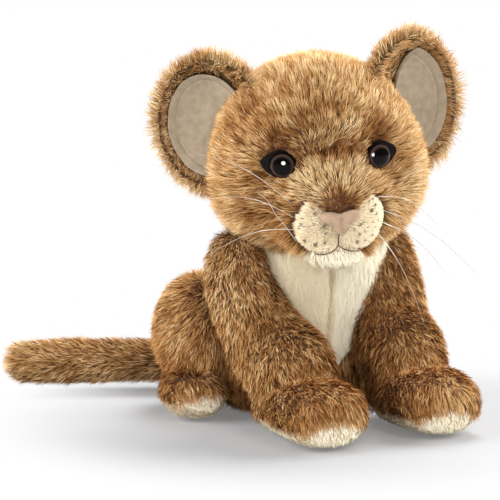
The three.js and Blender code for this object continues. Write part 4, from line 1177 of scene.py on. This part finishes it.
# Eyes
# Domed safety eyes, glossy black with a thin grey-brown ring near the edge, each on a shank
# through a black felt surround that comes to a point at both corners. The shanks go through
# the skin and are locked from inside.
eye_radius, eye_dome = 8 * mm, 5.5 * mm
eye_facing, eye_sink, felt_slant = 17, 3.6 * mm, 8
shank_radius, shank_length = 1.7 * mm, 9 * mm
underside_share = 0.94
felt_half_width, felt_half_height, felt_thickness = 11.4 * mm, 8.4 * mm, 0.9 * mm
felt_shift = 1.6 * mm
# How much the felt narrows towards its corners, and how pointed they are
felt_narrowing, felt_point = 0.3, 1.15
# Share of the way out from the middle and height in thicknesses of each ring of the felt
felt_layers = [(0.15, 0), (0.6, 0), (0.97, 0), (1, 0.3), (1, 0.7), (0.97, 1), (0.6, 1.25), (0.15, 1.3)]
seam_gap = 0.3 * mm
eye_base = felt_thickness + 2 * seam_gap
eye_black = (0.002, 0.0015, 0.0015)
# Share of the way out from the middle, and colour there
eye_colours = [
    (0, eye_black), (0.60, eye_black), (0.74, (0.040, 0.024, 0.018)), (0.80, (0.055, 0.034, 0.026)),
    (0.86, (0.003, 0.002, 0.002)), (1, eye_black)]
eye_gloss, nodes, links, shader = plain_material("eye_gloss", 0.05, 0.08)
ring_colour = colour_ramp(nodes, links, from_chart(nodes, links)["X"], eye_colours)
links.new(ring_colour, shader.inputs["Base Color"])
black_felt = fabric_material("black_felt", eye_black, (0.006, 0.004, 0.003), 400, 0.8, 1.0, 0.0)


def chart_rings(made, rows, sides, across):
    """A UV map for a stack of rings with a fan at each end: a value for each ring runs
    across, and the way round runs up."""
    corners = np.empty(len(made.data.loops), np.int32)
    made.data.loops.foreach_get("vertex_index", corners)
    values = np.concatenate([np.repeat(across, sides), [across[0], across[-1]]])
    rounds = np.concatenate([np.tile(np.arange(sides) / sides, rows), [0.5, 0.5]])
    set_chart(made.data, columns(values[corners], rounds[corners]))


for side, sign in both_sides:
    eye_seat = on_head(sign * eye_turn, eye_lift, eye_sink)

    def eye_point(points):
        """A shape drawn about the eye's seat, facing +Y, put in its place on the head."""
        return in_place(faced(points, eye_seat, sign * eye_facing, 0, sign * felt_slant))

    quarter = np.linspace(0, 1, 24) * np.pi / 2
    dome = columns(eye_radius * np.cos(quarter), eye_base + eye_dome * np.sin(quarter))[:-1]
    underside = [eye_radius * underside_share, eye_base]
    profile = np.vstack([[shank_radius, -shank_length], [shank_radius, eye_base], underside, dome])
    eye = mesh_object(f"safety_eye_{side}", *closed_rings(eye_point(turned(profile, 64))))
    chart_rings(eye, len(profile), 64, profile[:, 0] / eye_radius)
    fit_out(eye, "head", eye_gloss, "eye_plastic", f"eye_{side}")
    around = np.linspace(0, 2 * np.pi, 72, endpoint=False)
    felt_across = felt_half_width * signed_power(np.cos(around), felt_point)
    felt_up = felt_half_height * np.sin(around) * (1 - felt_narrowing * np.cos(around) ** 2)
    rings_of_felt = np.stack([
        columns(felt_across * share + sign * felt_shift, seam_gap + felt_thickness * level, felt_up * share)
        for share, level in felt_layers])
    felt = mesh_object(f"eye_felt_{side}", *closed_rings(eye_point(rings_of_felt)))
    fit_out(felt, "head", black_felt, "black_felt", f"eyelid_{side}")

# Nose
# A pad of pink-beige suede, sewn on round its edge: two rounded lobes above, drawn in at the
# sides to a narrow foot, with a groove down its middle.
nose_sink, nose_tilt, nose_thickness = 3 * mm, 12, 4.5 * mm
lobe_swell, lobe_across, lobe_up, lobe_size = 0.9 * mm, 6.2 * mm, 2 * mm, 3 * mm
nose_groove, nose_groove_width = 1.1 * mm, 0.8 * mm
nose_seat = on_head(0, nose_lift, nose_sink)
nose_edge = smooth_loop(nose_outline, 8)
# Share of the way out from the middle and height in thicknesses of each ring of the pad
nose_levels = np.array([
    [1.0, 0.06], [1.0, 0.3], [0.985, 0.55], [0.95, 0.75], [0.88, 0.9], [0.75, 1.0], [0.6, 1.05],
    [0.45, 1.08], [0.3, 1.09], [0.15, 1.1]])


def nose_point(points):
    """A shape drawn on the nose's seat, facing +Y, put in its place on the head."""
    return in_place(faced(points, nose_seat, 0, nose_tilt + nose_lift))


across, up = nose_edge[:, 0] * nose_levels[:, :1], nose_edge[:, 1] * nose_levels[:, :1]
height = nose_levels[:, 1:] * nose_thickness
bulge = lobe_swell * bell(np.abs(across) - lobe_across, lobe_size) * bell(up - lobe_up, lobe_size)
groove = nose_groove * bell(across, nose_groove_width) * (nose_levels[:, 1:] > 0.8)
nose = mesh_object("nose_pad", *closed_rings(nose_point(columns(across, height + bulge - groove, up))))
suede = fabric_material("nose_suede", (0.36, 0.245, 0.165), (0.44, 0.305, 0.205), 260, 0.5, 0.75, 0.05)
fit_out(nose, "head", suede, "nose_suede", "nose")

# Mouth
# Dark brown thread, sewn from the foot of the nose down the cleft and out along the lower
# edge of each pad. The line follows the skin, and its twist shows in its width.
thread_radius = 0.34 * mm
mouth_thread = fabric_material("mouth_thread", (0.075, 0.036, 0.018), (0.13, 0.065, 0.034), 900, 0.8)


def tube(name, line, radii, sides=10):
    """A thin rod along a line of points: a circle square to the line at each, as wide as given."""
    ahead = unit(np.gradient(line, axis=0))
    guide = np.array([0.3, 0.4, 0.86])
    sideways = unit(np.cross(ahead, guide))
    upwards = np.cross(sideways, ahead)
    turn = np.linspace(0, 2 * np.pi, sides, endpoint=False)[None, :, None]
    circles = sideways[:, None] * np.cos(turn) + upwards[:, None] * np.sin(turn)
    return mesh_object(name, *closed_rings(line[:, None] + circles * radii[:, None, None]))


def on_face(across_up, sink):
    """The point about the neck on the front of the head at this distance across and up: the
    distance ahead is corrected until the point lies on the surface."""
    across, up = across_up.T
    ahead = np.full(len(across_up), -60 * mm)
    for _ in range(25):
        surface = head_radius(unit(columns(across, ahead, up)), True) - sink
        want = surface ** 2 - (across_up ** 2).sum(-1)
        ahead = 0.5 * ahead - 0.5 * np.sqrt(np.maximum(want, 1e-6))
    return columns(across, ahead, up) + head_middle


# Across and up of each stitched line from the middle of the head, in millimetres
mouth_lines = {
    "cleft": [(-0.4, -30), (-1.0, -33.5), (-1.5, -37), (-1.6, -40.2)],
    "lip_left": [(-1.6, -40.2), (1.4, -42.6), (5.6, -44.2), (10.5, -44.9)],
    "lip_right": [(-1.6, -40.2), (-4.2, -42.9), (-8.6, -44.7), (-14, -45.0)]}
thread_sink, thread_points = 1.6 * mm, 60
for name, route in mouth_lines.items():
    line = catmull_rom(np.array(route) * mm, np.linspace(0, 1, thread_points))
    twist = 1 + 0.12 * np.sin(np.linspace(0, 26 * np.pi, thread_points))
    stitched = tube(f"mouth_{name}", in_place(on_face(line, thread_sink)), thread_radius * twist)
    fit_out(stitched, "head", mouth_thread, "black_felt")

# Whiskers
# Fine pale nylon, four to a side, rooted in the pads. Each bows forward and up on its way,
# tapers to its tip, and the lowest on the lion's right is kinked where it was bent.
whisker_reach, whisker_radius, whisker_bow, whisker_turn = 66 * mm, 0.35 * mm, 7 * mm, 24
whisker_sink = 2.5 * mm
kinked_whisker, whisker_kink = ("right", 4), 4.5 * mm
# Root dip in degrees, then how far the tip lies outwards, back and up, as shares of the reach
whisker_rows = {
    "right": [(15, 0.79, 0.22, 0.49), (21, 0.71, 0.3, 0.17), (27, 0.72, 0.26, -0.21),
              (33, 0.3, 0.02, 0.45)],
    "left": [(15, 0.55, 0.2, -0.35), (21, 0.87, 0.2, -0.71), (27, 0.61, 0.1, -0.58),
             (33, 0.39, 0.05, -0.9)]}
nylon, nodes, links, shader = plain_material("whisker_nylon", 0.3)
nylon_shades = colour_ramp(nodes, links, speckle(nodes, links, 60), [
    (0, (0.36, 0.31, 0.25)), (1, (0.60, 0.53, 0.44))])
links.new(nylon_shades, shader.inputs["Base Color"])
for side, sign in both_sides:
    for row, (dip, out, back, rise) in enumerate(whisker_rows[side], 1):
        root = on_head(sign * whisker_turn, -dip, whisker_sink)
        share = np.linspace(0, 1, 40)[:, None]
        bow = np.array([0, -whisker_bow, whisker_bow]) * np.sin(np.pi * share)
        line = root + np.array([sign * out, back, rise]) * whisker_reach * share + bow
        if (side, row) == kinked_whisker:
            line[:, 0] += sign * whisker_kink * np.interp(share[:, 0], [0, 0.4, 1], [0, 1, 0])
        radii = whisker_radius * (0.7 - 0.5 * share[:, 0])
        hair = tube(f"nylon_whisker_{side}_{row}", in_place(line), radii, 8)
        fit_out(hair, "head", nylon, "nylon", f"whisker_{side}_{row}")

# Washers
# Plastic discs pressed on the shanks of the eyes inside the head, which lock the eyes to the
# skin. They don't show, and keep the frame's own solids.
washer_plastic = fabric_material(
    "washer_plastic", (0.62, 0.62, 0.60), (0.70, 0.70, 0.68), 300, 0.05, 0.45, 0.0)
for side, _ in both_sides:
    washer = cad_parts[f"eye_washer_{side}"]
    washer.data.materials.clear()
    washer.data.materials.append(washer_plastic)

# Stuffing
# White polyester fibre fills every skin but the ears', and a bag of pellets lies in the seat.
# Nothing of them shows. They have the forms of the skins, drawn in and lumpy.
fibre = fabric_material("fibre", (0.78, 0.77, 0.74), (0.90, 0.89, 0.87), 200, 0.8)
pellet_cloth = fabric_material("pellet_cloth", (0.60, 0.57, 0.50), (0.72, 0.69, 0.62), 500, 0.5)
fill_inset, tail_fill_inset, haunch_fill_inset = 9 * mm, 7.5 * mm, 14 * mm
haunch_fill_out = 4 * mm
# The level between pellets and fibre, how far each ends from it, and how far the fibre ends
# under the top of the body
bag_top, bag_clearance, fill_end = 24 * mm, 1 * mm, 14 * mm


def filling(name, body, rings, node, material=fibre, slot="fibre"):
    """One lumpy filling from its rings."""
    made = mesh_object(name, *closed_rings(rings))
    lumpy(made, 0.9 * mm, 11 * mm, 110)
    fit_out(made, body, material, slot, node)


body_rings = stuffed_form(body_form, fill_inset, 90, 48)
levels = body_rings[:, 0, 2]
above_bag = (levels > bag_top + bag_clearance) & (levels < body_height - fill_end)
filling("body_filling", "torso", body_rings[above_bag], "torso_stuffing")
filling("seat_pellet_bag", "torso", body_rings[levels < bag_top - bag_clearance], "pellet_bag",
        pellet_cloth, "pellet_cloth")
filling("neck_filling", "neck", ball(neck_pivot, [neck_radius - fill_inset] * 3), "neck_stuffing")
filling("head_filling", "head", in_place(head_rings(fill_inset + 2 * mm, 40, 48)), "head_stuffing")
filling("tail_filling", "tail", stuffed_form(tail_form, tail_fill_inset, 40, 24), "tail_stuffing")
for side, sign in both_sides:
    leg_rings = stuffed_form(leg_forms[side], fill_inset, 30, 32)
    filling(f"front_leg_{side}_filling", f"front_leg_{side}", leg_rings, f"front_leg_{side}_stuffing")
    haunch_fill_middle = haunch_middle * [sign, 1, 1] + [sign * haunch_fill_out, 0, 0]
    haunch_rings = ball(haunch_fill_middle, haunch_sizes - haunch_fill_inset)
    filling(f"hind_leg_{side}_filling", f"hind_leg_{side}", haunch_rings, f"hind_leg_{side}_stuffing")

# Floor
# A matt paper floor. Light bounces off it as off pale grey. To the camera it is darker but for
# a faint glow, so that the toy's shadow shows, and it fades to plain white away from the toy.
floor_size = 6.0
fade_start, fade_end = 0.12, 0.21
fade_middle = (0, -0.05, 0)
bounce_grey, camera_grey, camera_glow = (0.66, 0.66, 0.66, 1), (0.33, 0.33, 0.335, 1), 0.16
bpy.ops.mesh.primitive_plane_add(size=floor_size)
floor = bpy.context.object
floor.name = "floor"
floor_paper = bpy.data.materials.new("floor_paper")
floor_paper.use_nodes = True
nodes, links = floor_paper.node_tree.nodes, floor_paper.node_tree.links
nodes.clear()


def white_source(nodes, kind, strength):
    """A node of this kind that gives out white light of this strength."""
    source = nodes.new(kind)
    source.inputs["Color"].default_value = (1, 1, 1, 1)
    source.inputs["Strength"].default_value = strength
    return source


def times(nodes, links, number, factor):
    """Two numbers multiplied."""
    product = nodes.new("ShaderNodeMath")
    product.operation = "MULTIPLY"
    links.new(number, product.inputs[0])
    links.new(factor, product.inputs[1])
    return product.outputs["Value"]


def blended(nodes, links, share, first, second):
    """The first shader where the share is 0, and the second where it is 1."""
    mix = nodes.new("ShaderNodeMixShader")
    links.new(share, mix.inputs["Fac"])
    links.new(first, mix.inputs[1])
    links.new(second, mix.inputs[2])
    return mix.outputs["Shader"]


seen = nodes.new("ShaderNodeLightPath").outputs["Is Camera Ray"]
matt = nodes.new("ShaderNodeBsdfDiffuse")
grey = nodes.new("ShaderNodeMix")
grey.data_type = "RGBA"
grey.inputs["A"].default_value = bounce_grey
grey.inputs["B"].default_value = camera_grey
links.new(seen, grey.inputs["Factor"])
links.new(grey.outputs["Result"], matt.inputs["Color"])
glow = white_source(nodes, "ShaderNodeEmission", camera_glow)
glow_amount = nodes.new("ShaderNodeValue")
glow_amount.outputs["Value"].default_value = camera_glow
links.new(times(nodes, links, seen, glow_amount.outputs["Value"]), glow.inputs["Strength"])
both = nodes.new("ShaderNodeAddShader")
links.new(matt.outputs["BSDF"], both.inputs[0])
links.new(glow.outputs["Emission"], both.inputs[1])
place = nodes.new("ShaderNodeTexCoord")
distance = nodes.new("ShaderNodeVectorMath")
distance.operation = "DISTANCE"
distance.inputs[1].default_value = fade_middle
links.new(place.outputs["Object"], distance.inputs[0])
fade = soft_step(nodes, links, distance.outputs["Value"], fade_start, fade_end)
paper_white = white_source(nodes, "ShaderNodeEmission", 1.0)
shown = blended(nodes, links, times(nodes, links, fade, seen), both.outputs["Shader"],
                paper_white.outputs["Emission"])
links.new(shown, nodes.new("ShaderNodeOutputMaterial").inputs["Surface"])
floor.data.materials.append(floor_paper)

# Light
# Soft light from all round, a white backdrop, a round key lamp ahead and above, a softbox on each
# side, one behind and above, and a low, weak one in front. The small round lamp near the camera
# gives only the glint in the eyes, and the other lamps never show in anything glossy.
studio_strength, backdrop_strength = 0.22, 1.0
world = bpy.data.worlds.new("studio")
bpy.context.scene.world = world
world.use_nodes = True
nodes, links = world.node_tree.nodes, world.node_tree.links
nodes.clear()
seen = nodes.new("ShaderNodeLightPath").outputs["Is Camera Ray"]
all_round = white_source(nodes, "ShaderNodeBackground", studio_strength).outputs["Background"]
backdrop = white_source(nodes, "ShaderNodeBackground", backdrop_strength).outputs["Background"]
surface = nodes.new("ShaderNodeOutputWorld").inputs["Surface"]
links.new(blended(nodes, links, seen, all_round, backdrop), surface)

subject = np.array([0, -30 * mm, 100 * mm])
# Name, turn and lift of its direction, distance in metres, size in metres, watts, shape
lamps = [
    ("key", -4, 38, 1.7, 0.9, 14, "DISK"), ("left_softbox", 80, 26, 1.5, 1.0, 28, "SQUARE"),
    ("right_softbox", -98, 24, 1.5, 1.0, 26, "SQUARE"), ("overhead", 130, 62, 1.5, 0.8, 28, "SQUARE"),
    ("front_fill", -24, 4, 1.8, 1.2, 9, "SQUARE"), ("glint", -31, 6, 1.6, 0.65, 200, "DISK")]
for name, turn, lift, distance, size, watts, shape in lamps:
    lamp = bpy.data.lights.new(name, "AREA")
    lamp.shape = shape
    lamp.size = size
    lamp.energy = watts
    placed = in_scene(name, lamp)
    look_back(placed, subject, facing(turn, lift), distance)
    placed.visible_diffuse = name != "glint"
    placed.visible_glossy = name == "glint"
bpy.context.scene.view_settings.view_transform = "Standard"
